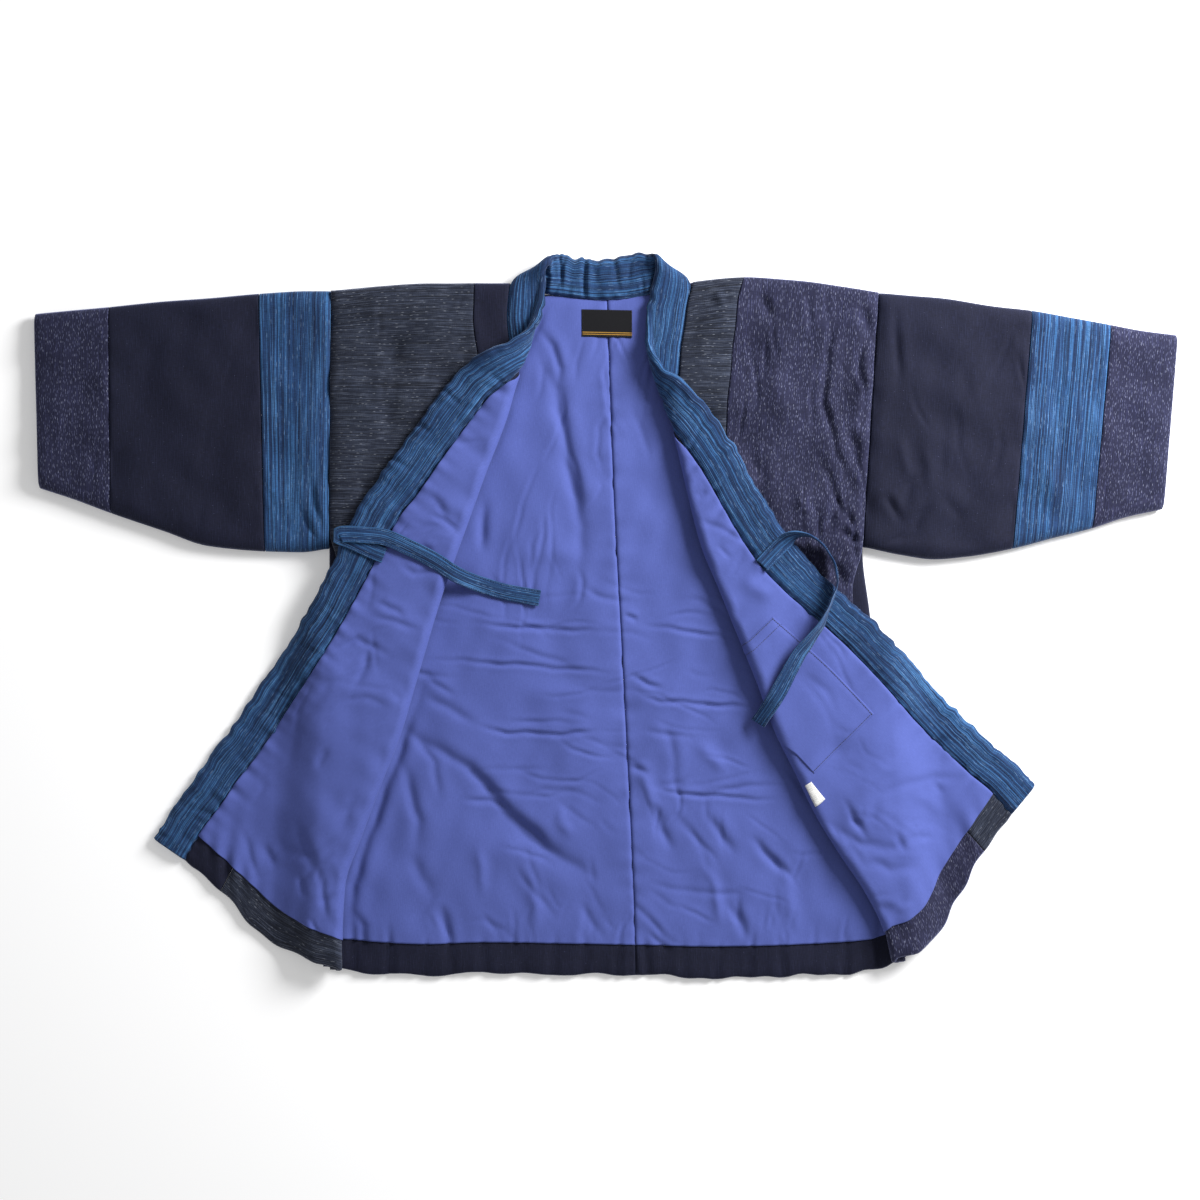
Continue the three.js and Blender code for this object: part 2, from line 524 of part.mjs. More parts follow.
/** One strip of a front, between two seams that run along its length. */
function addFrontStrip(name, finish, front, strip) {
  const grid = front.grid.map((line) => {
    const places = line[strip];
    return places.map((s) => {
      const seams = [s - places[0], places.at(-1) - s, front.top - line.y, line.y - front.hem];
      const wall = wallAt(WALL, SEAM_WALL, seams);
      const { bent, plan } = frontCell(front, line.row, s, wall, WALL, 0, 0);
      const flat = bent < 0.2;
      const low = flat ? droop(front, plan.x, plan.y) : 0;
      const dip = flat ? hollow(FRONT_HOLLOWS, plan.x, plan.y) : 0;
      return frontCell(front, line.row, s, wall, WALL, wall / 2 - dip, wall / 2, low);
    });
  });
  addWall(name, finish, grid);
}

/** A cell of a thin cloth on the inner side of a front, at a height over the padded wall. */
function skinCell(front, line, s, level) {
  const wall = wallAt(WALL, SEAM_WALL, [line.row.seam - s, front.top - line.y, line.y - front.hem]);
  const inner = wall / 2 + level;
  return frontCell(front, line.row, s, wall, WALL, -inner, inner + SKIN);
}

/** The lining of a turned front, from under the fold to the collar's seam, down to the facing. */
function addFrontLining(name, front) {
  const grid = front.grid.map((line) =>
    [...line.wide, ...line.narrow.slice(1)].map((s) => skinCell(front, line, s, GAP)),
  );
  const turned = (i, j) => grid[i][j].bent > LINING_START;
  addWall(name, "lining", grid, (i, j) => i < front.facingLine && turned(i, j) && turned(i + 1, j));
}

/** A small piece that lies on a front's lining, between two rows and two places along them. */
function addOnLining(name, finish, front, rows, count, start, end) {
  const grid = rows.map((y) => {
    const line = { y, row: frontRow(front, y) };
    const from = start(line.row);
    const length = end(line.row) - from;
    return spread(count, length, []).map((d) => skinCell(front, line, from + d, GAP + SKIN + LIFT));
  });
  addWall(name, finish, grid);
}

/** A closed section round a band: its middle, its width and wall directions. */
function bandSection(seam, free, normal, wall) {
  const profile = [
    { along: 0, off: 0.2 }, { along: 0.1, off: 0.4 }, { along: 0.3, off: 0.5 }, { along: 0.72, off: 0.5 },
    { along: 0.92, off: 0.38 }, { along: 1, off: 0.12 },
  ];
  const at = ({ along, off }, side) =>
    new THREE.Vector3().lerpVectors(seam, free, along).addScaledVector(normal, side * off * wall).toArray();
  return [...profile.map((p) => at(p, 1)), ...profile.toReversed().map((p) => at(p, -1))];
}

/** The collar along a front, on the same rows, from near the shoulder to the hem. */
function addFrontCollar(name, front) {
  const profile = [
    { place: 0, wall: 0.26 }, { place: 0.14, wall: 0.62 }, { place: 0.34, wall: 1 }, { place: 0.62, wall: 1 },
    { place: 0.86, wall: 0.84 }, { place: 1, wall: 0.28 },
  ];
  const grid = front.grid.map(({ row }) =>
    profile.map(({ place, wall }) => {
      const s = row.seam + seamGap(row, row.seam) + place * COLLAR_WIDTH;
      const thick = COLLAR_WALL * wall;
      return frontCell(front, row, s, thick, COLLAR_WALL, thick / 2, thick / 2);
    }),
  );
  addWall(name, "blueStripe", grid);
}

function addNeckBand(name) {
  const stations = NECK_BAND.map((s) => ({
    seam: new THREE.Vector3(s.seamX, s.seamY, s.seamZ),
    free: new THREE.Vector3(s.freeX, s.freeY, s.freeZ),
  }));
  const sections = stations.map(({ seam, free }, i) => {
    const [before, after] = [stations[Math.max(i - 1, 0)], stations[Math.min(i + 1, stations.length - 1)]];
    const run = after.seam.clone().add(after.free).sub(before.seam).sub(before.free);
    const normal = run.cross(free.clone().sub(seam)).normalize();
    return bandSection(seam, free, normal, COLLAR_WALL);
  });
  addSweep(name, "blueStripe", sections);
}

// Sleeves

/** One band of a sleeve, between two of its sections, as a flattened open tube. */
function addSleeveBand(name, finish, table, from, to) {
  const curves = columns(table.map((row, index) => ({ ...row, index })), "index");
  const length = Math.abs(table[to].topX - table[from].topX);
  const sections = spread(6, length, edgeZones(length, 3)).map((d) => {
    const gap = d < GAP ? GAP / 2 : d > length - GAP ? -GAP / 2 : 0;
    const index = from + ((to - from) * (d + gap)) / length;
    const top = new THREE.Vector2(curves.topX(index), curves.topY(index));
    const end = new THREE.Vector2(curves.endX(index), curves.endY(index));
    const pad = fill(d) * fill(length - d);
    return sleeveSection(top, end, SLEEVE_HEIGHT_AT_SEAM + (SLEEVE_HEIGHT - SLEEVE_HEIGHT_AT_SEAM) * pad);
  });
  addTube(name, finish, sections);
}

/** A sleeve's section between its top and bottom points: outer and inner outline. */
function sleeveSection(top, end, height) {
  const width = top.distanceTo(end);
  const edge = [0, 2.5, 9, 22, 60];
  const upper = [...edge, width * 0.42, width * 0.58, ...edge.toReversed().map((d) => width - d)];
  const lower = [width - 6, width - 24, width * 0.66, width * 0.34, 26, 6];
  const swell = (d) => fill(d * 1.2 + 1) * fill((width - d) * 0.9 + 1);
  const point = (d, z) => {
    const plan = top.clone().lerp(end, d / width);
    const dip = z > height / 2 ? hollow(SLEEVE_HOLLOWS, plan.x, plan.y) : 0;
    return [plan.x, plan.y, z - dip];
  };
  const middle = height * 0.45;
  const outer = [
    ...upper.map((d) => point(d, middle + (height - middle) * swell(d))),
    ...lower.map((d) => point(d, 0)),
  ];
  const margin = WALL * 0.95;
  const squeeze = (d) => margin + (d / width) * (width - 2 * margin);
  const inner = [
    ...upper.map((d) => point(squeeze(d), middle + (SLEEVE_SLIT / 2) * swell(d) * 0.9)),
    ...lower.map((d) => point(squeeze(d), middle - SLEEVE_SLIT / 2)),
  ];
  return { outer, inner };
}

// Small pieces

/** A flat ribbon along a route, its width tilted from level. */
function addTie(name, route) {
  const sections = route.map((p, i) => {
    const [before, after] = [route[Math.max(i - 1, 0)], route[Math.min(i + 1, route.length - 1)]];
    const run = new THREE.Vector3(after.x - before.x, after.y - before.y, 0).normalize();
    const level = new THREE.Vector3(-run.y, run.x, 0);
    const tilt = THREE.MathUtils.degToRad(p.tilt);
    const wide = level.clone().multiplyScalar(Math.cos(tilt)).setZ(Math.sin(tilt)).normalize();
    const thick = run.clone().cross(wide).normalize();
    const corner = (w, t) =>
      new THREE.Vector3(p.x, p.y, p.z)
        .addScaledVector(wide, w * TIE.width)
        .addScaledVector(thick, t * TIE.wall)
        .toArray();
    const upper = [corner(0.5, 0.3), corner(0, 0.5), corner(-0.5, 0.3)];
    return [...upper, corner(-0.5, -0.3), corner(0, -0.5), corner(0.5, -0.3)];
  });
  addSweep(name, "blueStripe", sections);
}

function addNeckLabel() {
  const steps = [-0.5, -0.17, 0.17, 0.5];
  const grid = steps.map((v) =>
    steps.map((u) => {
      const [x, y] = [NECK_LABEL.x + u * NECK_LABEL.width, NECK_LABEL.y + v * NECK_LABEL.height];
      const level = LINING_LEVEL + SKIN + GAP;
      return { face: [x, y, level + SKIN], back: [x, y, level] };
    }),
  );
  addWall("neck_label", "labelBlack", grid);
}

// The coat, piece by piece

const right = makeFront(RIGHT_ROWS, HALVES.right, -1, TURNS.right);
const left = makeFront(LEFT_ROWS, HALVES.left, 1, TURNS.left);

addBack("back_right", HALVES.right);
addBack("back_left", HALVES.left);
addBackLining("back_lining_right", HALVES.right);
addBackLining("back_lining_left", HALVES.left);

addFrontStrip("front_right_charcoal", "charcoal", right, "wide");
addFrontStrip("front_right_black", "plainNavy", right, "narrow");
addFrontStrip("front_left_speckled", "speckled", left, "wide");
addFrontStrip("front_left_grey", "charcoal", left, "narrow");
addFrontLining("front_lining_right", right);
addFrontLining("front_lining_left", left);

addFrontCollar("collar_right", right);
addNeckBand("collar_back");
addFrontCollar("collar_left", left);

const sleeveBands = [
  ["sleeve_right_stripe", "blueStripe", RIGHT_SLEEVE, 0, 2],
  ["sleeve_right_plain", "plainNavy", RIGHT_SLEEVE, 2, 5],
  ["sleeve_right_speckled", "speckled", RIGHT_SLEEVE, 5, 7],
  ["sleeve_left_plain", "plainNavy", LEFT_SLEEVE, 0, 4],
  ["sleeve_left_stripe", "blueStripe", LEFT_SLEEVE, 4, 6],
  ["sleeve_left_speckled", "speckled", LEFT_SLEEVE, 6, 8],
];
sleeveBands.forEach((band) => addSleeveBand(...band));

addTie("tie_right", RIGHT_TIE);
addTie("tie_left", LEFT_TIE);

const even = (from, to, count) => spread(count, from - to, []).map((d) => from - d);
const pocketStart = ({ seam, bendStart, bendLength }) =>
  Math.max(seam - POCKET.inset - POCKET.width, bendStart + bendLength * POCKET.bend);
addOnLining("pocket", "lining", left, even(POCKET.top, POCKET.bottom, 6), 9, pocketStart,
  (row) => row.seam - POCKET.inset);
const labelStart = (row) => row.bendStart + row.bendLength / 2 + CARE_LABEL.start;
addOnLining("care_label", "labelWhite", left, even(CARE_LABEL.top, CARE_LABEL.bottom, 2), 3, labelStart,
  (row) => labelStart(row) + CARE_LABEL.width);
addNeckLabel();

export default coat;
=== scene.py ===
"""A hanten, the padded short coat, laid flat with both fronts turned outward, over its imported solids.

Lengths are in millimetres up to the moment that a mesh is made. Seen from above, +X is the right and +Y
points to the neck; the wearer's right side is on the left.
"""
import logging
import math
from dataclasses import dataclass, field
from enum import Enum
from typing import Sequence

import bpy
import numpy as np
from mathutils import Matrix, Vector


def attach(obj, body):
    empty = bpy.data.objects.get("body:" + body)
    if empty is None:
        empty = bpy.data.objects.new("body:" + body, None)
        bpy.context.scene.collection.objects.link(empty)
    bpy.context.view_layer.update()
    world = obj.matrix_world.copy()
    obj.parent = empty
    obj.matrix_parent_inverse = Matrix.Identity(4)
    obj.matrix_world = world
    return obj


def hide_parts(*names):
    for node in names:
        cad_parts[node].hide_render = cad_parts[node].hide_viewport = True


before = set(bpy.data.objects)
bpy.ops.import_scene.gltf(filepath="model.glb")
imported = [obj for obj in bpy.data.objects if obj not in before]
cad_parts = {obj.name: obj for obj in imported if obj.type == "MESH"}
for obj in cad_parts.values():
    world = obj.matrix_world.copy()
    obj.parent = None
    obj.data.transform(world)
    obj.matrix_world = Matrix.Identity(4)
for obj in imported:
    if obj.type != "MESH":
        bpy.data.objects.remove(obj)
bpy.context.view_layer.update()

LOG = logging.getLogger("hanten")
Array = np.ndarray
MM = 0.001

# Walls, seams and levels of the layers, as the solids have them
WALL = 8.0  # a padded panel
SKIN = 1.0  # the lining
GAP = 0.3  # between layers
COLLAR_WALL = 10.0
COLLAR_WIDTH = 45.0
FACING = 36.0  # the hem's turned-in edge
BACK_LENGTH = 780.0  # a back panel from the neck to the hem, near enough to space its rows
BACK_WIDTH = 320.0  # the same from its side seam to the centre seam
NECK_Y = 370.0
FRONT_LEVEL = 11.0  # a front over the ground
BEND_RADIUS = 5.2  # of a wall's middle where a front turns over
BEND_INSIDE = 2.4  # what the outer cloth keeps on the inside of that bend
LINING_START = 1.3  # the angle of the bend where the lining starts, in radians
EDGE_DROOP = 4.0  # how far a front's seams come down to the back's edge
SEAM_RUN = 14.0  # the distance from a seam over which padding fills out
DRAPE_START, DRAPE_END = 4.0, 62.0  # past the side seam, where a turned front comes to the ground
RIM = 1.8  # how far a padded edge rounds over
SEAM_RIM = 0.45  # the same where two pieces are sewn together
SEAM_GAP = 0.08  # between two pieces drawn together by their seam
FOLD_GAPE = 1.4  # how much wider that gap is at a fold's edge

SHOULDER_RIGHT = ((-312, 368), (-251, 374), (-199, 377), (-141, 377), (-110, 377), (-81, 365), (-56, 364),
                  (-24, 360), (2, 360))
SHOULDER_LEFT = ((2, 360), (27, 362), (53, 366), (84, 374), (100, 379), (159, 384), (207, 381), (269, 373),
                 (310, 366))
HEM_LINE = ((-323, -400), (-203, -408), (-138, -406), (32, -408), (134, -411), (216, -409), (298, -403),
            (344, -388))
CENTRE_SEAM = ((361, 1), (133, 9), (-38, 18), (-366, 33), (-411, 34))
SIDE_RIGHT = ((378, -311.4), (76, -314), (-95, -314), (-321, -318), (-411, -322))
SIDE_LEFT = ((385, 310), (231, 300.4), (120, 293.4), (77, 291), (6, 299), (-72, 310), (-163, 319),
             (-264, 327), (-411, 344))

# Rows of a front: y, side, fold, rise, lean, over, turn, strip
ROW_NAMES = ("side", "fold", "rise", "lean", "over", "turn", "strip")
RIGHT_ROWS = (
    (368, -311.6, -72, 10, 148, -37, 62, 40), (340, -311.9, -79, 3, 148, -33, 70, 38),
    (320, -312, -85, 1, 148, -26, 88, 38), (303, -312.2, -90, 0, 148, -18, 112, 38),
    (290, -312.3, -94, 0, 148, -11, 132, 39), (276, -312.4, -98, 0, 148, -2, 152, 40),
    (255, -312.6, -104, 0, 148, 10, 174, 41), (229, -312.8, -111, 0, 146, 25, 180, 42),
    (160, -313.2, -137, 0, 142, 46, 180, 44), (96, -313.6, -160, 0, 142, 64, 180, 45),
    (63, -305, -172, 0, 142, 75, 180, 46), (23, -303, -186, 0, 142, 82, 180, 46),
    (-71, -303, -214, 0, 142.5, 102, 180, 48), (-132, -303, -232, 0, 141.5, 119, 180, 49),
    (-186, -304, -253, 0, 142, 132, 180, 50), (-247, -308, -276, 0, 142, 147, 180, 51),
    (-304, -312, -295, 0, 141.5, 166, 180, 52), (-363, -313, -298, 0, 144.5, 198, 180, 53),
    (-401, -313, -297, 0, 145.5, 218, 180, 54),
)
LEFT_ROWS = (
    (366, 309.2, 56, 13, 45, -43, 52, 57), (340, 307.5, 50, 6, 45, -41, 60, 57),
    (310, 305.6, 50, 1, 45, -36, 78, 58), (276, 303.4, 56, 0, 45, -27, 112, 58),
    (244, 301.4, 65, 0, 45, -14, 148, 58), (198, 298.4, 79, 0, 45, 2, 174, 58),
    (142, 294.8, 92, 0, 44, 23, 180, 58), (80, 290.9, 108, 0, 43, 40, 180, 57),
    (29, 279, 129, 0, 43.5, 50, 180, 57), (-16, 282, 147, 0, 44, 67, 180, 56),
    (-71, 292, 170, 0, 44, 93, 180, 56), (-131, 301, 192, 0, 43.5, 122, 180, 55),
    (-176, 305, 214, 0, 44.5, 137, 180, 55), (-225, 310, 238, 0, 45.5, 152, 180, 54),
    (-266, 314, 263, 0, 47.5, 164, 180, 54), (-311, 319, 293, 0, 50, 176, 180, 53),
    (-355, 332, 314, 0, 51.5, 196, 180, 52), (-392, 340, 322, 0, 50.5, 215, 180, 52),
)
# How far the turned hems swell out, by the share of the way from the fold to the collar
RIGHT_BULGE = ((0, 0), (0.1, 8), (0.22, 14.5), (0.38, 19), (0.6, 12), (0.85, 4), (1, 0))
LEFT_BULGE = ((0, 0), (0.1, 15), (0.22, 21), (0.45, 11), (0.7, 5), (1, 0))
# The collar behind the neck: its seam's x, y, z and its free edge's x, y, z
NECK_BAND = (
    (-108, 379.2, 11, -70, 382.5, 21), (-99, 382.5, 8.5, -67, 393, 29), (-87, 378.8, 5.5, -64, 402, 26),
    (-72, 369, 4, -59, 407, 16), (-53, 366, 3.6, -48, 407, 11), (-33, 363.4, 3.6, -31, 403, 9.5),
    (-10, 361.4, 3.6, -9, 402, 9.5), (14, 362.2, 3.6, 13, 403, 9.5), (34, 364.6, 3.6, 30, 406, 11),
    (53, 369.6, 3.6, 44, 409, 13), (70, 379.6, 3.6, 54, 407, 22), (86, 384, 8, 57, 398, 26),
    (95, 381.2, 11, 56, 386.4, 20),
)
# Sections of a sleeve: top x, top y, bottom x, bottom y
RIGHT_SLEEVE = (
    (-312.5, 368, -315, 76), (-341, 368, -346, 72), (-393, 365, -386, 73), (-449, 360, -450, 79),
    (-504, 356, -501, 96), (-562, 350, -560, 116), (-606, 346, -603, 132), (-648, 342, -643, 145),
)
LEFT_SLEEVE = (
    (310.5, 366, 292, 78), (344, 363, 334, 69), (381, 360, 372, 64), (438, 351, 409, 67),
    (482, 346, 460, 76), (527, 338, 506, 88), (571, 330, 550, 99), (608, 323, 590, 112),
    (648, 318, 632, 121),
)
# Routes of the ties: x, y, z and the tilt of the width from level
RIGHT_TIE = (
    (-249, 68, 32.6, 0), (-262, 73, 32.6, 0), (-281, 82, 32.6, 0), (-292, 87, 32.8, 0),
    (-300, 90, 34.4, 0), (-293, 92, 36, 0), (-271, 91, 35.8, 0), (-247, 88, 35.6, 0),
    (-219, 76, 34.6, 0), (-192, 62, 33, 0), (-174, 50, 31.5, 0), (-161, 43, 25, 0),
    (-149, 38, 16.5, 0), (-137, 34, 12.4, 0), (-113, 27, 11, 0), (-75, 20, 11, 0),
)
LEFT_TIE = (
    (175, 57, 32.6, 0), (188, 71, 32.6, 0), (199, 82, 33.6, 10), (212, 91, 36.5, 62), (228, 90, 34, 86),
    (242, 82, 31.5, 92), (251, 69, 31.5, 94), (257, 57, 34, 94), (259, 44, 39, 95), (257, 30, 41.4, 97),
    (251, 14, 41.8, 101), (243, -5, 41.2, 112), (231, -24, 40.2, 130), (216, -43, 38.6, 150),
    (203, -67, 37, 166), (193, -86, 35.8, 182), (185, -99, 33.6, 197), (178, -110, 29, 206),
    (171, -121, 23.5, 207),
)


def smooth(value: Array) -> Array:
    """A soft step from 0 at 0 to 1 at 1."""
    part = np.clip(value, 0, 1)
    return part * part * (3 - 2 * part)


def fill(distance: Array, run: float = SEAM_RUN) -> Array:
    """How far padding has filled out at a distance from a seam, from 0 to 1."""
    part = np.clip(distance / run, 0, 1)
    return np.sqrt(1 - (1 - part) ** 2)


def hill(x: Array, at: float, reach: float) -> Array:
    """A soft hill of height 1 at a place, and next to nothing past twice its reach."""
    return np.exp(-(((x - at) / reach) ** 2))


def trough(off: Array, lip: float, at: float, reach: float) -> Array:
    """A trough's profile upside down: 1 in its middle, with a low lip on either side."""
    return np.exp(-off * off) - lip * hill(np.abs(off), at, reach)


def lengths(points: Array) -> Array:
    """How far each point of a line is along it."""
    return np.concatenate([[0], np.cumsum(np.linalg.norm(np.diff(points, axis=0), axis=1))])


class Curve:
    """A smooth curve through the points of a table, which never swings past them."""

    def __init__(self, at: Sequence[float], value: Sequence[float]) -> None:
        """Fit the curve.

        Args:
            at: Places of the points, in any order.
            value: The curve's value at each.
        """
        order = np.argsort(at)
        self.at = np.asarray(at, float)[order]
        self.value = np.asarray(value, float)[order]
        self.slope = np.diff(self.value) / np.diff(self.at)
        before, after = self.slope[:-1], self.slope[1:]
        steady = before * after > 0
        inner = np.where(steady, 2 * before * after / np.where(steady, before + after, 1), 0)
        self.tangent = np.concatenate([self.slope[:1], inner, self.slope[-1:]])

    def __call__(self, x: Array) -> Array:
        """The curve's value at each x, held level past its ends.

        Args:
            x: Where to read the curve.

        Returns:
            The values.
        """
        x = np.clip(x, self.at[0], self.at[-1])
        i = np.clip(np.searchsorted(self.at, x) - 1, 0, len(self.at) - 2)
        width = self.at[i + 1] - self.at[i]
        t = (x - self.at[i]) / width
        inner = self.tangent[i] * (1 - t) - self.tangent[i + 1] * t
        bulge = t * (1 - t) * (inner - self.slope[i] * (1 - 2 * t)) * width
        return self.value[i] * (1 - t) + self.value[i + 1] * t + bulge


@dataclass(frozen=True)
class Crease:
    """A wrinkle along a line seen from above, with a soft lip beside it.

    A negative depth makes a ridge.
    """

    points: tuple[tuple[float, float], ...]
    reach: float
    depth: float

    def height(self, x: Array, y: Array) -> Array:
        """How much the wrinkle lifts the cloth at each point.

        Args:
            x: The points' x.
            y: The points' y.

        Returns:
            The lift, below zero in the wrinkle.
        """
        line = np.asarray(self.points, float)
        low, high = line.min(0) - 5 * self.reach, line.max(0) + 5 * self.reach
        near = (x > low[0]) & (x < high[0]) & (y > low[1]) & (y < high[1])
        lift = np.zeros(x.shape)
        if not near.any():
            return lift
        px, py = x[near], y[near]
        best, side, along = np.full(px.shape, 1e9), np.zeros(px.shape), np.zeros(px.shape)
        start = 0.0
        for a, b in zip(line, line[1:]):
            run = b - a
            length = math.hypot(*run)
            t = np.clip(((px - a[0]) * run[0] + (py - a[1]) * run[1]) / length**2, 0, 1)
            dx, dy = px - a[0] - t * run[0], py - a[1] - t * run[1]
            off = np.hypot(dx, dy)
            closer = off < best
            best = np.where(closer, off, best)
            side = np.where(closer, np.sign(run[0] * dy - run[1] * dx), side)
            along = np.where(closer, start + t * length, along)
            start += length
        part = along / start
        taper = smooth(part / 0.4) * smooth((1 - part) / 0.4)
        wander = 0.3 * np.sin(along / 11 + start) + 0.12 * np.sin(along / 4.7 + 2 * start)
        off = (best * side + wander * 3) / (0.8 * self.reach)
        uneven = 0.82 + 0.18 * np.sin(along / 13 + start)
        lip = 0.36 * hill(off, 2.3, 1.5) + 0.16 * hill(off, -2.4, 1.7)
        lift[near] = -self.depth * (np.exp(-off * off) - lip) * taper * uneven
        return lift


def creases(*rows: Sequence[float]) -> tuple[Crease, ...]:
    """Creases from rows of their reach, their depth and the x and y of each point."""
    return tuple(Crease(tuple(zip(row[2::2], row[3::2])), row[0], row[1]) for row in rows)


@dataclass(frozen=True)
class Lumps:
    """The gentle unevenness of wadding under cloth, the same on every run."""

    seed: int
    size: float
    depth: float
    waves: int = 12

    def height(self, x: Array, y: Array) -> Array:
        """The lift at each point, about the depth either way.

        Args:
            x: The points' x.
            y: The points' y.

        Returns:
            The lift.
        """
        rng = np.random.default_rng(self.seed)
        total = np.zeros(np.broadcast(x, y).shape)
        for _ in range(self.waves):
            angle, phase = rng.uniform(0, 2 * math.pi, 2)
            pitch = 2 * math.pi / (self.size * rng.uniform(0.7, 1.6))
            total += np.sin((x * math.cos(angle) + y * math.sin(angle)) * pitch + phase)
        return total * self.depth / math.sqrt(self.waves / 2)


def wrinkles(seed: int, count: int, box: Sequence[float], heading: float, spread: float, length: float,
             depth: float) -> tuple[Crease, ...]:
    """Small wrinkles strewn over a stretch of cloth, the same on every run.

    Args:
        seed: Fixes them.
        count: How many.
        box: Low x, low y, high x and high y of the stretch.
        heading: Their usual direction in degrees.
        spread: How far they stray from it, in degrees.
        length: Their usual length.
        depth: Their usual depth.

    Returns:
        The wrinkles.
    """
    rng = np.random.default_rng(seed)
    made = []
    for _ in range(count):
        x, y = rng.uniform(box[0], box[2]), rng.uniform(box[1], box[3])
        angle, turn = math.radians(heading + rng.normal(0, spread)), rng.normal(0, 0.35)
        size = length * rng.uniform(0.5, 1.6)
        points = []
        for part in (-0.5, -0.17, 0.17, 0.5):
            bent = angle + turn * part
            points.append((x + size * part * math.cos(bent), y + size * part * math.sin(bent)))
        made.append(Crease(tuple(points), rng.uniform(1.8, 4.2), depth * rng.uniform(0.4, 1.5)))
    return tuple(made)


def deeper(marks: Sequence[Crease], share: float) -> tuple[Crease, ...]:
    """The same creases, deeper or shallower."""
    return tuple(Crease(mark.points, mark.reach, mark.depth * share) for mark in marks)


def relief(marks: Sequence[Crease | Lumps], x: Array, y: Array) -> Array:
    """The summed lift of creases and lumps at each point."""
    return sum((mark.height(x, y) for mark in marks), np.zeros(np.broadcast(x, y).shape))


def puckers(seed: int, pitch: float, along: Array, distance: Array, reach: float, depth: float) -> Array:
    """Small gathers beside a seam, fading with the distance from it.

    Args:
        seed: Fixes the pattern.
        pitch: Usual distance from one gather to the next.
        along: Place along the seam.
        distance: Distance from the seam.
        reach: Distance over which they fade.
        depth: Their depth at the seam.

    Returns:
        The lift at each point.
    """
    wave = Lumps(seed, pitch, depth, 7).height(along, np.zeros(np.shape(along)))
    return wave * np.exp(-np.maximum(distance, 0) / reach)


# Wrinkles that show, with like ones where the coat hides them: reach, depth, then the points
BACK_CREASES = creases(
    (2.8, 2, -160, -8, -75, -15, 0, -17), (3, 1.4, 19, 2, 38, -5), (2.7, 1.5, 36, -10, 95, -18, 156, -26),
    (2.6, 1.6, -214, -48, -154, -52, -95, -56, 24, -66), (3.2, 1.7, 23, -66, 47, -77, 68, -82),
    (2.7, 1.9, 28, -84, 61, -97, 188, -105), (2.8, 2, -156, -121, -112, -133, -52, -134, 4, -130),
    (6, 1.4, -210, -88, -174, -108, -142, -124), (4, 1.4, 27, -169, 51, -180),
    (2.7, 1.8, 38, -186, 68, -200, 129, -205, 200, -209), (3.6, 1.5, -165, -208, -131, -211, -102, -220),
    (7, 2.3, -252, -112, -229, -127, -188, -154, -154, -172, -112, -222, -67, -264, -18, -294, 11, -305),
    (15, 2.4, -170, -168, -112, -229, -67, -270, -10, -306),
    (7, 1.8, -240, -150, -224, -186, -214, -232, -216, -280), (5, 1.3, -222, -128, -196, -166, -186, -214),
    (7, 1.5, -104, 350, -100, 306, -112, 262, -128, 228), (5, 1.5, -84, 330, -60, 306, -52, 280, -58, 250),
    (6, 1, 60, -110, 74, -142, 78, -186, 92, -230), (5, 1.2, -30, -320, -16, -352, -14, -376),
    (6, 2.2, -196, -40, -206, -71, -226, -132, -246, -186, -268, -247, -286, -304, -289, -363, -287, -420),
    (5, 1.6, -290, -330, -276, -352, -272, -392),
    (8, 2.6, -62, 323, -68, 275, -55, 254, -50, 215, -40, 159, -28, 101, -33, 28),
    (6, 1.8, -139, 139, -139, 108, -141, 66), (10, -1.6, -123, 312, -134, 267, -154, 221),
    (6, 1.6, 51, -203, 63, -242, 78, -270), (6, 1.5, 113, -218, 131, -249, 148, -277),
    (5, 2, 158, -245, 185, -273, 214, -301), (9, -1.6, 95, -140, 124, -163, 140, -180),
    (7, -1.3, 38, -163, 52, -208, 66, -231), (8, -1.4, 197, -264, 208, -321, 216, -364),
    (7, -1.2, -52, -208, -50, -233, -36, -253), (16, 1.6, 16, 323, 38, 244, 50, 165),
    (14, -1.2, -120, 63, -52, 72, -7, 63), (6, 1.6, -188, -321, -181, -355, -179, -377),
    (9, 1.6, -221, -264, -210, -298, -192, -327), (6, 1.6, 140, -321, 154, -349, 160, -373),
    (6, -1.4, 106, -276, 124, -307, 131, -355), (8, -1.2, -86, -287, -79, -332, -84, -373),
    (6, -1, -146, -253, -140, -287, -142, -327), (4, 0.7, 38, -298, 84, -312, 174, -316),
    (12, -1, -97, -95, -52, -84, -7, -95), (16, -1.2, 61, 86, 106, 63, 140, 18),
)
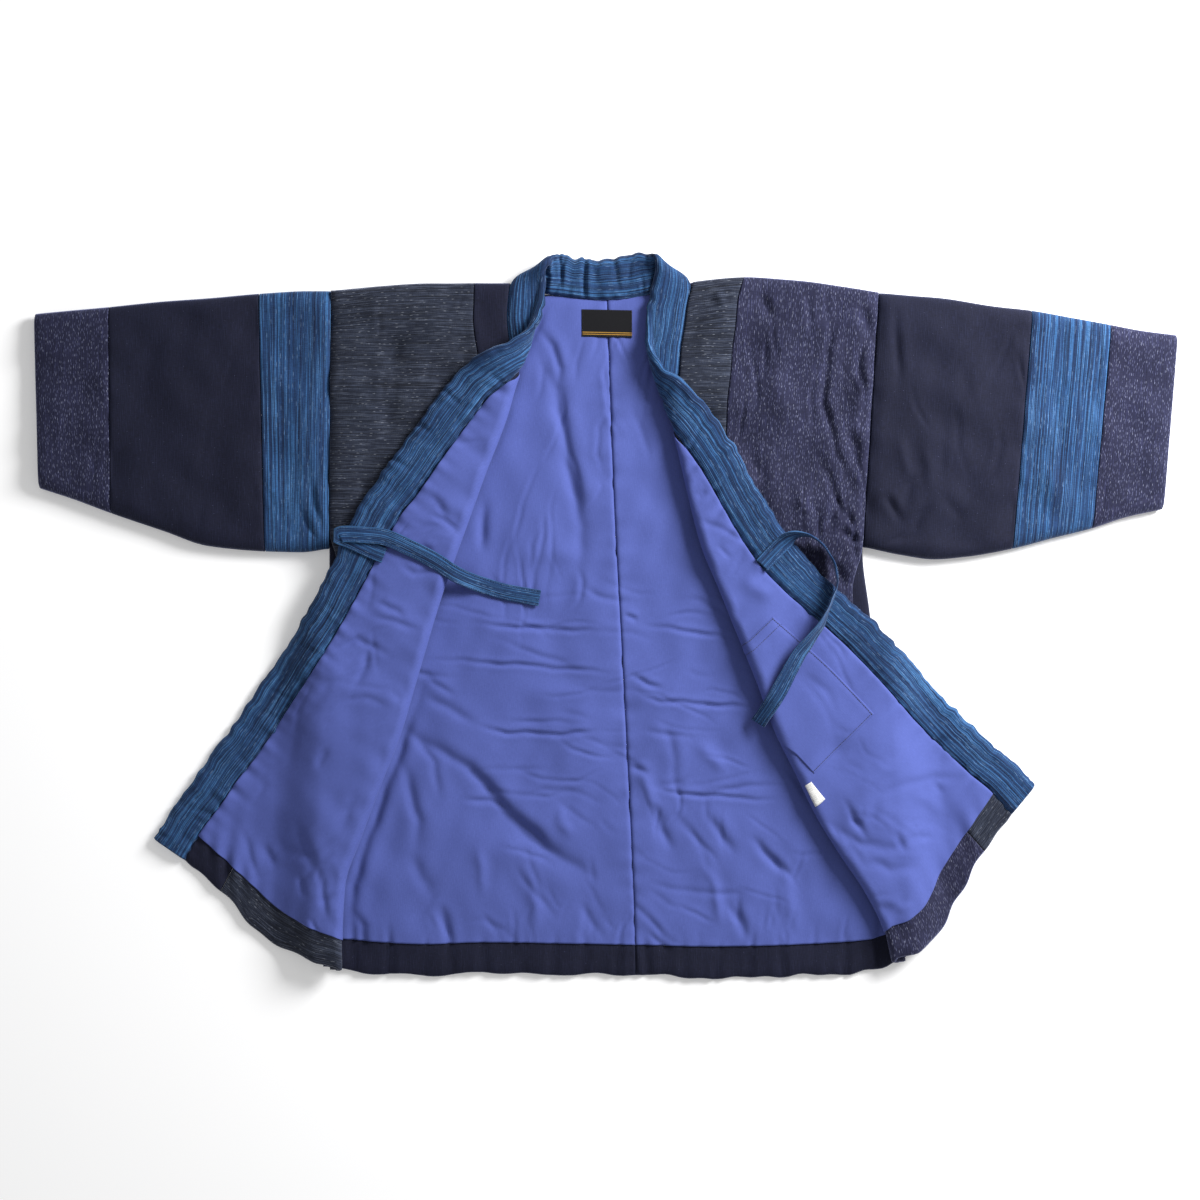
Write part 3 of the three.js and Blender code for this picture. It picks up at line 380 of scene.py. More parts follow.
TURNED_RIGHT_CREASES = creases(
    (3, 1.8, -200, 116, -184, 108, -162, 90), (5, 1.4, -205, 142, -188, 125, -174, 106),
    (4, 1.2, -210, 80, -192, 72), (4, 1.4, -261, 18, -235, 5, -224, -7),
    (5, 1.2, -264, -27, -271, -59, -287, -84), (14, -1.6, -287, -140, -264, -127, -233, -118),
    (12, -2, -233, -163, -242, -208, -267, -264), (14, 1.5, -312, -185, -296, -231, -287, -264),
    (7, 1.4, -357, -219, -332, -276, -321, -310), (5, 1.5, -389, -255, -373, -289),
    (6, 1.2, -328, -174, -312, -146), (8, 1.3, -264, -208, -255, -174, -235, -140),
    (4, 1.7, -292, -273, -289, -298, -296, -327), (4, 1.4, -346, -289, -339, -321),
    (5, 1, -246, -84, -227, -97), (14, -1.4, -295, -38, -312, -84, -325, -108),
    (9, -1.3, -192, 199, -199, 165),
    (8, 1.1, -366, -206, -360, -170, -346, -120, -310, -78, -262, -58, -216, -49),
    (7, 1.2, -386, -232, -362, -266, -330, -270, -292, -228, -272, -170),
    (4, 1.3, -416, -236, -404, -268, -392, -304), (4, 1.1, -318, -46, -280, -25, -232, -52),
    (4, 1.1, -270, 2, -236, -6, -200, -22), (4, 1.5, -352, -306, -328, -284, -304, -262),
    (4.4, 1.7, -322, -280, -318, -310, -312, -346), (4, 1.1, -236, 60, -214, 48, -190, 52),
    (4.4, 1, -300, -96, -272, -92, -238, -104),
)
TURNED_LEFT_CREASES = creases(
    (4, 1.1, 96, 112, 131, 96, 166, 80), (4, 1.2, 101, 131, 115, 140),
    (12, -1.8, 146, 46, 174, 29, 194, 18), (5, 1.4, 219, 12, 233, -2, 249, -11),
    (8, -1.2, 185, -27, 174, -38, 160, -59), (10, -1.6, 276, -208, 310, -174, 338, -163),
    (7, 1.5, 267, -253, 298, -225, 310, -197), (6, 1.2, 289, -276, 321, -285, 360, -278),
    (5, 1.4, 273, -225, 289, -240), (5, 1.3, 324, -240, 338, -267),
    (9, -1.3, 338, -197, 366, -208, 386, -233), (6, -1.2, 298, -315, 332, -327, 348, -321),
    (12, 1, 249, -134, 271, -163), (5, 1.1, 292, -206, 330, -192, 372, -182, 414, -186),
    (5, 1.2, 248, -230, 286, -256, 326, -262, 368, -234), (4, 1.2, 262, -200, 278, -226, 298, -256),
    (5, 0.9, 216, -60, 246, -84, 262, -118), (5, 1.2, 366, -185, 383, -202), (8, -1.2, 124, 154, 138, 131),
)
FRONT_RIGHT_CREASES = creases(
    (12, 2.6, -241, 341, -240, 281, -244, 234, -251, 186), (5, 1, -301, 390, -295, 357),
    (16, -0.8, -287, 323, -289, 221, -294, 131), (14, 1, -176, 414, -174, 368, -181, 323),
    (8, 1.4, -278, 154, -264, 131),
)
FRONT_LEFT_CREASES = creases(
    (4.4, 1.8, 266, 350, 250, 300, 246, 240, 260, 186, 284, 128),
    (4.6, 1.6, 298, 330, 286, 286, 292, 236, 286, 190), (4.6, 1.6, 232, 190, 254, 150, 268, 116, 290, 84),
    (6, 1.8, 173, 368, 181, 350, 188, 332), (5, 2.2, 249, 99, 255, 111, 263, 119),
    (5, 2.6, 262, 102, 276, 88, 286, 77), (7, 1.8, 287, 357, 296, 323, 292, 301),
    (8, 2.2, 271, 221, 282, 188, 278, 154), (10, -1.8, 301, 289, 287, 244, 285, 210),
    (16, -1.4, 208, 323, 192, 276, 185, 221), (10, 1.8, 156, 199, 174, 154, 179, 108),
    (8, -1.4, 219, 154, 226, 108, 217, 80), (4, -1.4, 120, 368, 136, 350),
    (6, 1.8, 242, 63, 262, 50, 273, 29),
)
COLLAR_CREASES = creases(
    (6, 1.8, -176, 221, -145, 203), (6, 1.6, -219, 156, -181, 140), (6, 1.2, -312, -18, -287, -38),
    (7, 1.2, -389, -134, -357, -151), (6, 1, -453, -202, -419, -221), (4, 1.2, 110, 167, 144, 185),
    (7, 1.4, 260, -38, 289, -27), (7, 1.4, 296, -84, 338, -72), (6, 1.2, 349, -146, 400, -140),
    (6, 1, 400, -197, 434, -180), (3.4, 2, -97, 393, -88, 368, -84, 350),
    (6, 1.6, 66, 330, 72, 300, 66, 270), (5, 1.4, 80, 262, 92, 236),
)
# Where a tie draws the collar in
TIE_PINCHES = creases(
    (7, 2, 164, 44, 192, 74, 224, 106), (7, 1.8, -238, 60, -274, 79, -312, 98),
)
NECK_CREASES = creases(
    (2.6, 3.2, -79, 416, -66, 385, -76, 350), (2.4, 4.2, -71, 420, -68, 350), (2.4, 3, -54, 420, -50, 362),
    (2.6, 2.4, -43, 420, -61, 352), (2.6, 5, -25, 424, -23, 346), (3, 1.4, -8, 420, -12, 380),
    (3.6, 1.6, 8, 420, 16, 352), (3, 1.4, 30, 420, 26, 372), (2.8, 4.6, 56, 424, 55, 346),
    (2.6, 2.4, 66, 420, 74, 372), (2.6, 3, -104, 388, -92, 397, -80, 395, -74, 384, -80, 373, -94, 368),
    (3.4, -2.4, -92, 385, -80, 383), (2.6, 2, -112, 372, -98, 380, -88, 380),
    (2.6, 2, -98, 405, -90, 392, -84, 386), (2.4, 2.2, -74, 405, -78, 394, -84, 386),
    (2.6, 2, -96, 352, -90, 366, -86, 378), (3, 1.6, -112, 340, -100, 356, -96, 372),
)
RIGHT_SLEEVE_CREASES = creases(
    (3.4, 2, -339, 199, -334, 154, -325, 108, -316, 80), (3.4, 1.6, -325, 199, -328, 142, -321, 97),
    (3.4, 1.6, -350, 131, -337, 103, -321, 77), (4, 1.4, -576, 199, -581, 154, -583, 131),
    (10, -0.9, -621, 323, -619, 244, -617, 165), (14, -0.8, -515, 165, -470, 131, -425, 108),
    (24, -0.8, -459, 346, -453, 244),
)
LEFT_SLEEVE_CREASES = creases(
    (5, 1.7, 324, 363, 330, 298, 329, 241), (5, 2.2, 314, 142, 325, 122, 334, 103),
    (6, 1.8, 339, 86, 355, 114, 371, 131), (6, 1.6, 346, 165, 339, 131, 330, 108),
    (8, 1.8, 375, 142, 389, 122, 407, 108), (10, -1.2, 400, 108, 423, 131, 445, 154),
    (8, -1.6, 360, 199, 366, 165, 362, 131), (7, -1.4, 332, 210, 337, 176, 344, 142),
    (10, 1.2, 411, 289, 405, 255, 409, 221), (8, 0.9, 459, 312, 454, 278),
    (8, 1.5, 513, 289, 508, 233, 520, 165), (8, -1.2, 495, 188, 504, 142, 513, 108),
    (7, 1.1, 558, 306, 554, 267, 547, 244), (12, -1.2, 603, 267, 615, 221, 610, 176),
    (5, 2, 310, 77, 330, 86, 346, 97),
)


# Meshes


@dataclass
class Cloth:
    """A mesh in the making: points in millimetres, quads and each point's place on the flat cloth."""

    points: Array
    quads: Array
    flat: Array

    def build(self, name: str, finish: bpy.types.Material) -> bpy.types.Object:
        """Make the object, faces outward, smooth, with its cloth coordinates in metres.

        Args:
            name: The piece's name.
            finish: Its material.

        Returns:
            The new object.
        """
        used, inverse = np.unique(self.quads, return_inverse=True)
        points, flat = self.points[used] * MM, self.flat[used] * MM
        quads = inverse.reshape(self.quads.shape)
        a, b, c, d = (points[quads[:, k]] for k in range(4))
        volume = np.einsum("ij,ij->", a, np.cross(b, c)) + np.einsum("ij,ij->", a, np.cross(c, d))
        if volume < 0:
            quads = quads[:, ::-1]
        mesh = bpy.data.meshes.new(name)
        mesh.vertices.add(len(points))
        mesh.vertices.foreach_set("co", points.ravel())
        mesh.loops.add(quads.size)
        mesh.loops.foreach_set("vertex_index", quads.ravel())
        mesh.polygons.add(len(quads))
        mesh.polygons.foreach_set("loop_start", np.arange(0, quads.size, 4))
        mesh.update(calc_edges=True)
        layer = mesh.uv_layers.new(name="cloth")
        layer.data.foreach_set("uv", flat[quads].ravel())
        mesh.shade_smooth()
        mesh.materials.append(finish)
        return show(name, mesh)


def shell(face: Array, back: Array, flat: Array, keep: Array | None = None, wrap: bool = False,
          pinched: bool = False) -> Cloth:
    """A closed wall between two faces on the same grid.

    Args:
        face: Points of one side, rows by columns by 3.
        back: Points of the other side.
        flat: Cloth coordinates, rows by columns by 2.
        keep: Which cells to keep, all of them if left out.
        wrap: The last column joins the first.
        pinched: The two faces share their outermost points, so that no rim is needed.

    Returns:
        The wall.
    """
    rows, width = face.shape[:2]
    index = np.arange(rows * width).reshape(rows, width)
    under = index + rows * width
    if pinched:
        border = np.zeros((rows, width), bool)
        border[[0, -1]] = True
        if not wrap:
            border[:, [0, -1]] = True
        under = np.where(border, index, under)
    if wrap:
        index, under = (np.hstack([grid, grid[:, :1]]) for grid in (index, under))
    kept = np.ones((rows - 1, index.shape[1] - 1), bool) if keep is None else keep

    def corners(grid: Array) -> list[Array]:
        """The four corners of every kept cell."""
        return [part[kept] for part in (grid[:-1, :-1], grid[:-1, 1:], grid[1:, 1:], grid[1:, :-1])]

    top, low = corners(index), corners(under)
    quads = [np.stack(top, 1), np.stack(low[::-1], 1)]
    if not pinched:
        padded = np.pad(kept, 1)
        around = [padded[:-2, 1:-1], padded[1:-1, 2:], padded[2:, 1:-1], padded[1:-1, :-2]]
        if wrap:
            around[1], around[3] = np.roll(kept, -1, 1), np.roll(kept, 1, 1)
        for k, neighbour in enumerate(around):
            open_side = ~neighbour[kept]
            m = (k + 1) % 4
            quads.append(np.stack([top[m], top[k], low[k], low[m]], 1)[open_side])
    points = np.concatenate([face.reshape(-1, 3), back.reshape(-1, 3)])
    return Cloth(points, np.concatenate(quads), np.tile(flat.reshape(-1, 2), (2, 1)))


def rounded(face: Array, back: Array, flat: Array, wrap: bool = False,
            rims: Sequence[float] = (RIM, RIM, RIM, RIM)) -> Cloth:
    """A wall whose open edges round over, as padded cloth does.

    Args:
        face: Points of one side, rows by columns by 3.
        back: Points of the other side.
        flat: Cloth coordinates.
        wrap: The last column joins the first.
        rims: How far the first row, the last row, the first and the last column round over.

    Returns:
        The wall.
    """

    def grow(grid: Array, axis: int) -> Array:
        """The grid with a row of points past each end, where the two faces meet.

        Args:
            grid: Cloth coordinates.
            axis: 0 for rows, 1 for columns.

        Returns:
            The longer grid.
        """
        first, last = np.take(grid, [0], axis), np.take(grid, [-1], axis)
        inner, outer = np.take(grid, [1], axis), np.take(grid, [-2], axis)
        return np.concatenate([2 * first - inner, grid, 2 * last - outer], axis)

    def close(axis: int, face: Array, back: Array, reach: Sequence[float]) -> tuple[Array, Array]:
        """Both faces with a shared ring of points past their ends.

        Args:
            axis: 0 for rows, 1 for columns.
            face: Points of one side.
            back: Points of the other side.
            reach: How far the first and the last end round over.

        Returns:
            The longer grids.
        """
        middle = (face + back) / 2
        rings = []
        for end, near, rim in ((0, 1, reach[0]), (-1, -2, reach[1])):
            edge, inside = np.take(middle, [end], axis), np.take(middle, [near], axis)
            away = edge - inside
            away /= np.maximum(np.linalg.norm(away, axis=2, keepdims=True), 1e-6)
            rings.append(edge + away * rim)
        return tuple(np.concatenate([rings[0], grid, rings[1]], axis) for grid in (face, back))

    face, back = close(0, face, back, rims[:2])
    flat = grow(flat, 0)
    if not wrap:
        face, back = close(1, face, back, rims[2:])
        flat = grow(flat, 1)
    return shell(face, back, flat, wrap=wrap, pinched=True)


def places(count: int, start: Array, end: Array, dense: Sequence[tuple[Array, Array, float]] = ()) -> Array:
    """Places along each of many lines, closer together inside the dense stretches and at both ends.

    Args:
        count: Number of places on each line.
        start: Where each line starts.
        end: Where it ends.
        dense: Stretches as start, end and how many times denser they are.

    Returns:
        One row of places for each line.
    """
    start, end = np.atleast_1d(start).astype(float), np.atleast_1d(end).astype(float)
    steps = np.linspace(0, 1, 500)
    rows = []
    for k in range(len(start)):
        x = start[k] + (end[k] - start[k]) * steps
        near = np.minimum(np.abs(x - start[k]), np.abs(x - end[k]))
        density = 1 + 2.2 * np.exp(-near / 5)
        for low, high, share in dense:
            low, high = np.broadcast_to(low, start.shape)[k], np.broadcast_to(high, start.shape)[k]
            density += share * ((x >= low) & (x <= high))
        total = np.concatenate([[0], np.cumsum((density[1:] + density[:-1]) / 2)])
        rows.append(np.interp(np.linspace(0, total[-1], count), total, x))
    return np.array(rows)


def stack(*parts: Array) -> Array:
    """Grids of single coordinates as one grid of points."""
    return np.stack(np.broadcast_arrays(*parts), -1)


def show(name: str, data: bpy.types.ID) -> bpy.types.Object:
    """A new object in the scene.

    Args:
        name: The object's name.
        data: Its mesh, light or camera.

    Returns:
        The object.
    """
    made = bpy.data.objects.new(name, data)
    bpy.context.scene.collection.objects.link(made)
    return made


def walls(full: float, seams: Sequence[tuple[Array, float]], run: float = SEAM_RUN) -> Array:
    """A padded wall's thickness near seams.

    Args:
        full: Thickness away from them.
        seams: For each seam, the distance to it and the thickness there.
        run: Distance over which the padding fills out.

    Returns:
        The thickness at each point.
    """
    part = 1.0
    for distance, thin in seams:
        part = part * (1 - (1 - thin / full) * (1 - fill(distance, run)))
    return full * part


# Shapes that pieces share


class Side(Enum):
    """A side of the wearer. The value is the sign of its X."""

    RIGHT = -1
    LEFT = 1


@dataclass
class Half:
    """The outline of one half of the back."""

    side: Side
    shoulder: tuple[tuple[float, float], ...]
    flank: tuple[tuple[float, float], ...]

    def __post_init__(self) -> None:
        """Fit the outline's curves."""
        self.top = Curve(*zip(*self.shoulder))
        self.edge = Curve(*zip(*self.flank))
        self.corner = self.shoulder[0 if self.side is Side.RIGHT else -1][0]
        self.hem_corner = self.flank[-1][1]


HEM = Curve(*zip(*HEM_LINE))
CENTRE = Curve(*zip(*CENTRE_SEAM))
CENTRE_TOP, CENTRE_HEM = CENTRE(400), CENTRE(-400)
HALVES = {
    Side.RIGHT: Half(Side.RIGHT, SHOULDER_RIGHT, SIDE_RIGHT),
    Side.LEFT: Half(Side.LEFT, SHOULDER_LEFT, SIDE_LEFT),
}
FRONT_ROWS = {Side.RIGHT: RIGHT_ROWS, Side.LEFT: LEFT_ROWS}
LINING_SHOWS = {Side.RIGHT: (0.235, 0.62), Side.LEFT: (0.235, 0.6)}  # of each front, in metres
BACK_HOLLOWS = creases(
    (24, 2.2, -225, -130, -110, -240, 8, -312), (20, 1.6, -58, 215, -32, 30), (18, 1.4, 48, -200, 78, -290),
    (18, 1.4, 158, -240, 214, -302),
)
BACK_LUMPS = (Lumps(3, 85, 0.75), Lumps(4, 34, 0.28))
FRONT_LUMPS = (Lumps(5, 88, 1.7), Lumps(6, 34, 0.5))
BACK_RELIEF = (
    deeper(BACK_CREASES, 1.7) + BACK_HOLLOWS + BACK_LUMPS
    + wrinkles(101, 46, (-220, -210, 240, 30), -6, 12, 84, 1.1)
    + wrinkles(102, 34, (-150, -380, 250, -190), -46, 26, 64, 1.1)
    + wrinkles(103, 26, (-120, 20, 60, 350), 84, 14, 92, 1.05)
    + wrinkles(104, 22, (-250, -372, 300, -330), 88, 20, 36, 0.8)
)
TURNED_LUMPS = (Lumps(7, 85, 0.9), Lumps(8, 34, 0.18))
TURNED_RIGHT = (
    deeper(TURNED_RIGHT_CREASES, 1.5) + TURNED_LUMPS
    + wrinkles(111, 24, (-400, -330, -230, 20), 30, 30, 70, 0.7)
    + wrinkles(112, 14, (-300, -40, -160, 200), 30, 26, 52, 0.6)
    + wrinkles(113, 12, (-340, -390, -250, -290), 80, 24, 34, 1.1)
)
TURNED_LEFT = (
    deeper(TURNED_LEFT_CREASES, 1.5) + TURNED_LUMPS
    + wrinkles(121, 22, (200, -330, 400, 0), -44, 30, 64, 0.7)
    + wrinkles(122, 16, (90, 0, 220, 220), 24, 26, 46, 0.7)
    + wrinkles(123, 12, (250, -330, 370, -200), 10, 26, 34, 1.0)
)
FRONT_RIGHT_RELIEF = (
    deeper(FRONT_RIGHT_CREASES, 1.5) + FRONT_LUMPS
    + wrinkles(131, 20, (-305, 90, -130, 360), 80, 26, 76, 0.9)
)
FRONT_LEFT_RELIEF = (
    deeper(FRONT_LEFT_CREASES, 2.9) + FRONT_LUMPS + wrinkles(141, 30, (90, 60, 305, 360), 92, 24, 72, 2.0)
    + wrinkles(142, 16, (220, 50, 300, 190), 120, 26, 56, 2.0)
)
RIGHT_SLEEVE_RELIEF = (
    deeper(RIGHT_SLEEVE_CREASES, 1.5) + BACK_LUMPS + (Lumps(71, 60, 0.8),)
    + wrinkles(151, 26, (-640, 90, -330, 350), 82, 24, 74, 0.8)
)
LEFT_SLEEVE_RELIEF = (
    deeper(LEFT_SLEEVE_CREASES, 1.6) + BACK_LUMPS + (Lumps(71, 60, 0.8),)
    + wrinkles(161, 34, (320, 80, 640, 340), 70, 26, 74, 1.2)
)
TACK_PITCH = 37.0
TACK_SEED = 41


@dataclass
class Bend:
    """A front's rows where they run before and past the fold line."""

    start_x: Array
    start_y: Array
    before_x: Array
    before_y: Array
    along_x: Array
    along_y: Array
    across_x: Array
    across_y: Array
    turn: Array
    slant: Array
    start: Array
    length: Array
    seam: Array
    strip: Array

    def gap(self, place: Array) -> Array:
        """The gap at a seam, which gapes where the seam runs over the fold's edge."""
        return SEAM_GAP + FOLD_GAPE * (1 - smooth((np.abs(place - self.start - self.length / 2) - 14) / 26))


class Front:
    """One front of the coat as a surface: y is its row and s the length along it from the side seam."""

    def __init__(self, side: Side, rows: Sequence[Sequence[float]]) -> None:
        """Fit the rows' curves.

        Args:
            side: Which front it is.
            rows: Its rows from shoulder to hem, with ROW_NAMES after y.
        """
        self.side, self.half = side, HALVES[side]
        at = [row[0] for row in rows]
        self.curves = {name: Curve(at, [row[k + 1] for row in rows]) for k, name in enumerate(ROW_NAMES)}
        self.top, self.hem = at[0], at[-1]
        self.bulge = Curve(*zip(*(RIGHT_BULGE if side is Side.RIGHT else LEFT_BULGE)))
        side_x, fold_x, rise = rows[0][1], rows[0][2], rows[0][3]
        ends = sorted([(side_x, self.top), (fold_x, self.top + rise)])
        self.shoulder = Curve(*zip(*ends))

    def bend(self, y: Array) -> Bend:
        """The directions and lengths of the rows at y, each as a column.

        Args:
            y: The rows, from shoulder to hem.

        Returns:
            The rows' shape.
        """
        y = np.asarray(y, float)[:, None]
        value = {name: curve(y) for name, curve in self.curves.items()}
        fold_x, fold_y = value["fold"], y + value["rise"]
        lean, turn = np.radians(value["lean"]), np.radians(value["turn"])
        reach_x, reach_y = fold_x - value["side"], fold_y - y
        length = np.hypot(reach_x, reach_y)
        before_x, before_y = reach_x / length, reach_y / length
        after_x, after_y = np.cos(lean), np.sin(lean)
        across_x, across_y = (before_x - after_x) / 2, (before_y - after_y) / 2
        slant = np.hypot(across_x, across_y)
        reach = (BEND_RADIUS + WALL / 2) * turn / math.pi / slant
        return Bend(
            value["side"], y, before_x, before_y, (before_x + after_x) / 2, (before_y + after_y) / 2,
            across_x / slant, across_y / slant, turn, slant, length - reach, BEND_RADIUS * turn / slant,
            length + value["over"], value["strip"],
        )

    def middle(self, bend: Bend, s: Array, wall: Array, full: float) -> tuple[Array, Array, Array, Array]:
        """The middle of the wall.

        Args:
            bend: The rows, from bend().
            s: Places along the rows.
            wall: The wall's thickness there.
            full: Its thickness away from seams.

        Returns:
            x, y, z and the angle bent through at each place.
        """
        bent = np.clip((s - bend.start) / bend.length, 0, 1) * bend.turn
        past = np.maximum(0, s - bend.start)
        beyond = np.maximum(0, past - bend.length) * bend.slant
        out = np.where(past > 0, BEND_RADIUS * np.sin(bent) + beyond * np.cos(bent), 0)
        up = BEND_RADIUS * (1 - np.cos(bent)) + beyond * np.sin(bent)
        straight = np.minimum(s, bend.start)
        x = bend.start_x + bend.before_x * straight + bend.along_x * past + bend.across_x * out
        y = bend.start_y + bend.before_y * straight + bend.along_y * past + bend.across_y * out
        z = FRONT_LEVEL + WALL / 2 + up - (full - wall) / 2 * np.abs(np.cos(bent))
        low = self.outward(bend, s)
        after_x, after_y = 2 * bend.along_x - bend.before_x, 2 * bend.along_y - bend.before_y
        x, y = x + self.side.value * after_y * low, y - self.side.value * after_x * low
        lift = np.maximum(self.half.top(x) - self.shoulder(x), 0) * smooth((y - 290) / 70)
        return x, y + np.where(bent < 0.3, lift, 0), z, bent

    def outward(self, bend: Bend, s: Array) -> Array:
        """How far the turned part's hem swells out past the straight, with its small scallops.

        Args:
            bend: The rows, from bend().
            s: Places along them.

        Returns:
            The distance at each place.
        """
        part = np.clip((s - bend.start - bend.length) / (bend.seam - bend.start - bend.length), 0, 1)
        above = bend.start_y - self.hem
        wave = Lumps(91, 30, 1.5, 6).height(s, 0 * s) * smooth(part / 0.1) * smooth((1 - part) / 0.1)
        return self.bulge(part) * smooth(1 - above / 110) + wave * smooth(1 - above / 36)

    def droop(self, x: Array, y: Array) -> Array:
        """How far the front's seams come down towards the edge of the back under them.

        Args:
            x: The points' x.
            y: The points' y.

        Returns:
            The drop.
        """
        inside = np.minimum(np.minimum(self.side.value * (self.half.edge(y) - x), self.half.top(x) - y),
                            y - HEM(x))
        return EDGE_DROOP * (1 - fill(inside))

    def cells(self, bend: Bend, s: Array, wall: Array, full: float, face_out: Array, back_out: Array,
              droop: Array | float = 0.0) -> tuple[Array, Array]:
        """Points of the wall's two faces.

        Args:
            bend: The rows, from bend().
            s: Places along the rows.
            wall: The wall's thickness there.
            full: Its thickness away from seams.
            face_out: Distance of the outer cloth from the middle.
            back_out: Distance of the lining's side from the middle.
            droop: How much lower the wall lies.

        Returns:
            The grids of the outer and of the inner face.
        """
        part = np.clip((s - bend.start) / bend.length, 0, 1)
        x, y, z, bent = self.middle(bend, s, wall, full)
        z = z - droop
        z = np.where(bent > math.pi / 2, z - self.lowering(x, y) * (z - wall / 2), z)
        pressed = np.maximum(0, face_out - BEND_INSIDE) * np.sin(part * math.pi)
        normal = (-bend.across_x * np.sin(bent), -bend.across_y * np.sin(bent), np.cos(bent))
        face = stack(*(p + n * (face_out - pressed) for p, n in zip((x, y, z), normal)))
        back = stack(*(p - n * back_out for p, n in zip((x, y, z), normal)))
        return face, back

    def lowering(self, x: Array, y: Array) -> Array:
        """How far the turned front has come down to the ground past the side seam, from 0 to 1."""
        past = self.side.value * (x - self.half.edge(y))
        return smooth((past - DRAPE_START) / (DRAPE_END - DRAPE_START)) * smooth((-y + 60) / 50)


# Pieces


class Shade(Enum):
    """The coat's cloths, by the record's material slot."""

    BLUE_STRIPE = "blue_stripe"
    CHARCOAL = "charcoal_stripe"
    SPECKLED = "speckled_navy"
    PLAIN = "plain_navy"
    LINING = "lining_blue"
    BLACK_LABEL = "label_black"
    WHITE_LABEL = "label_white"


@dataclass
class Sewn:
    """Puts finished pieces on the coat's body, hides the solids that they replace and logs each one's name,
    faces and area.
    """

    finishes: dict[Shade, bpy.types.Material]
    area: dict[str, float] = field(default_factory=dict)

    def add(self, name: str, cloth: Cloth, shade: Shade, nodes: Sequence[str]) -> bpy.types.Object:
        """Make a piece that stands for solids of the coat.

        Args:
            name: The piece's name.
            cloth: Its mesh.
            shade: Its cloth.
            nodes: The solids that it replaces.

        Returns:
            The piece.
        """
        piece = cloth.build(name, self.finishes[shade])
        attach(piece, "root")
        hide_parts(*nodes)
        area = sum(face.area for face in piece.data.polygons) / 2
        self.area[name] = area
        LOG.info("%s: %d faces, %.4f m2 of cloth", name, len(piece.data.polygons), area)
        return piece


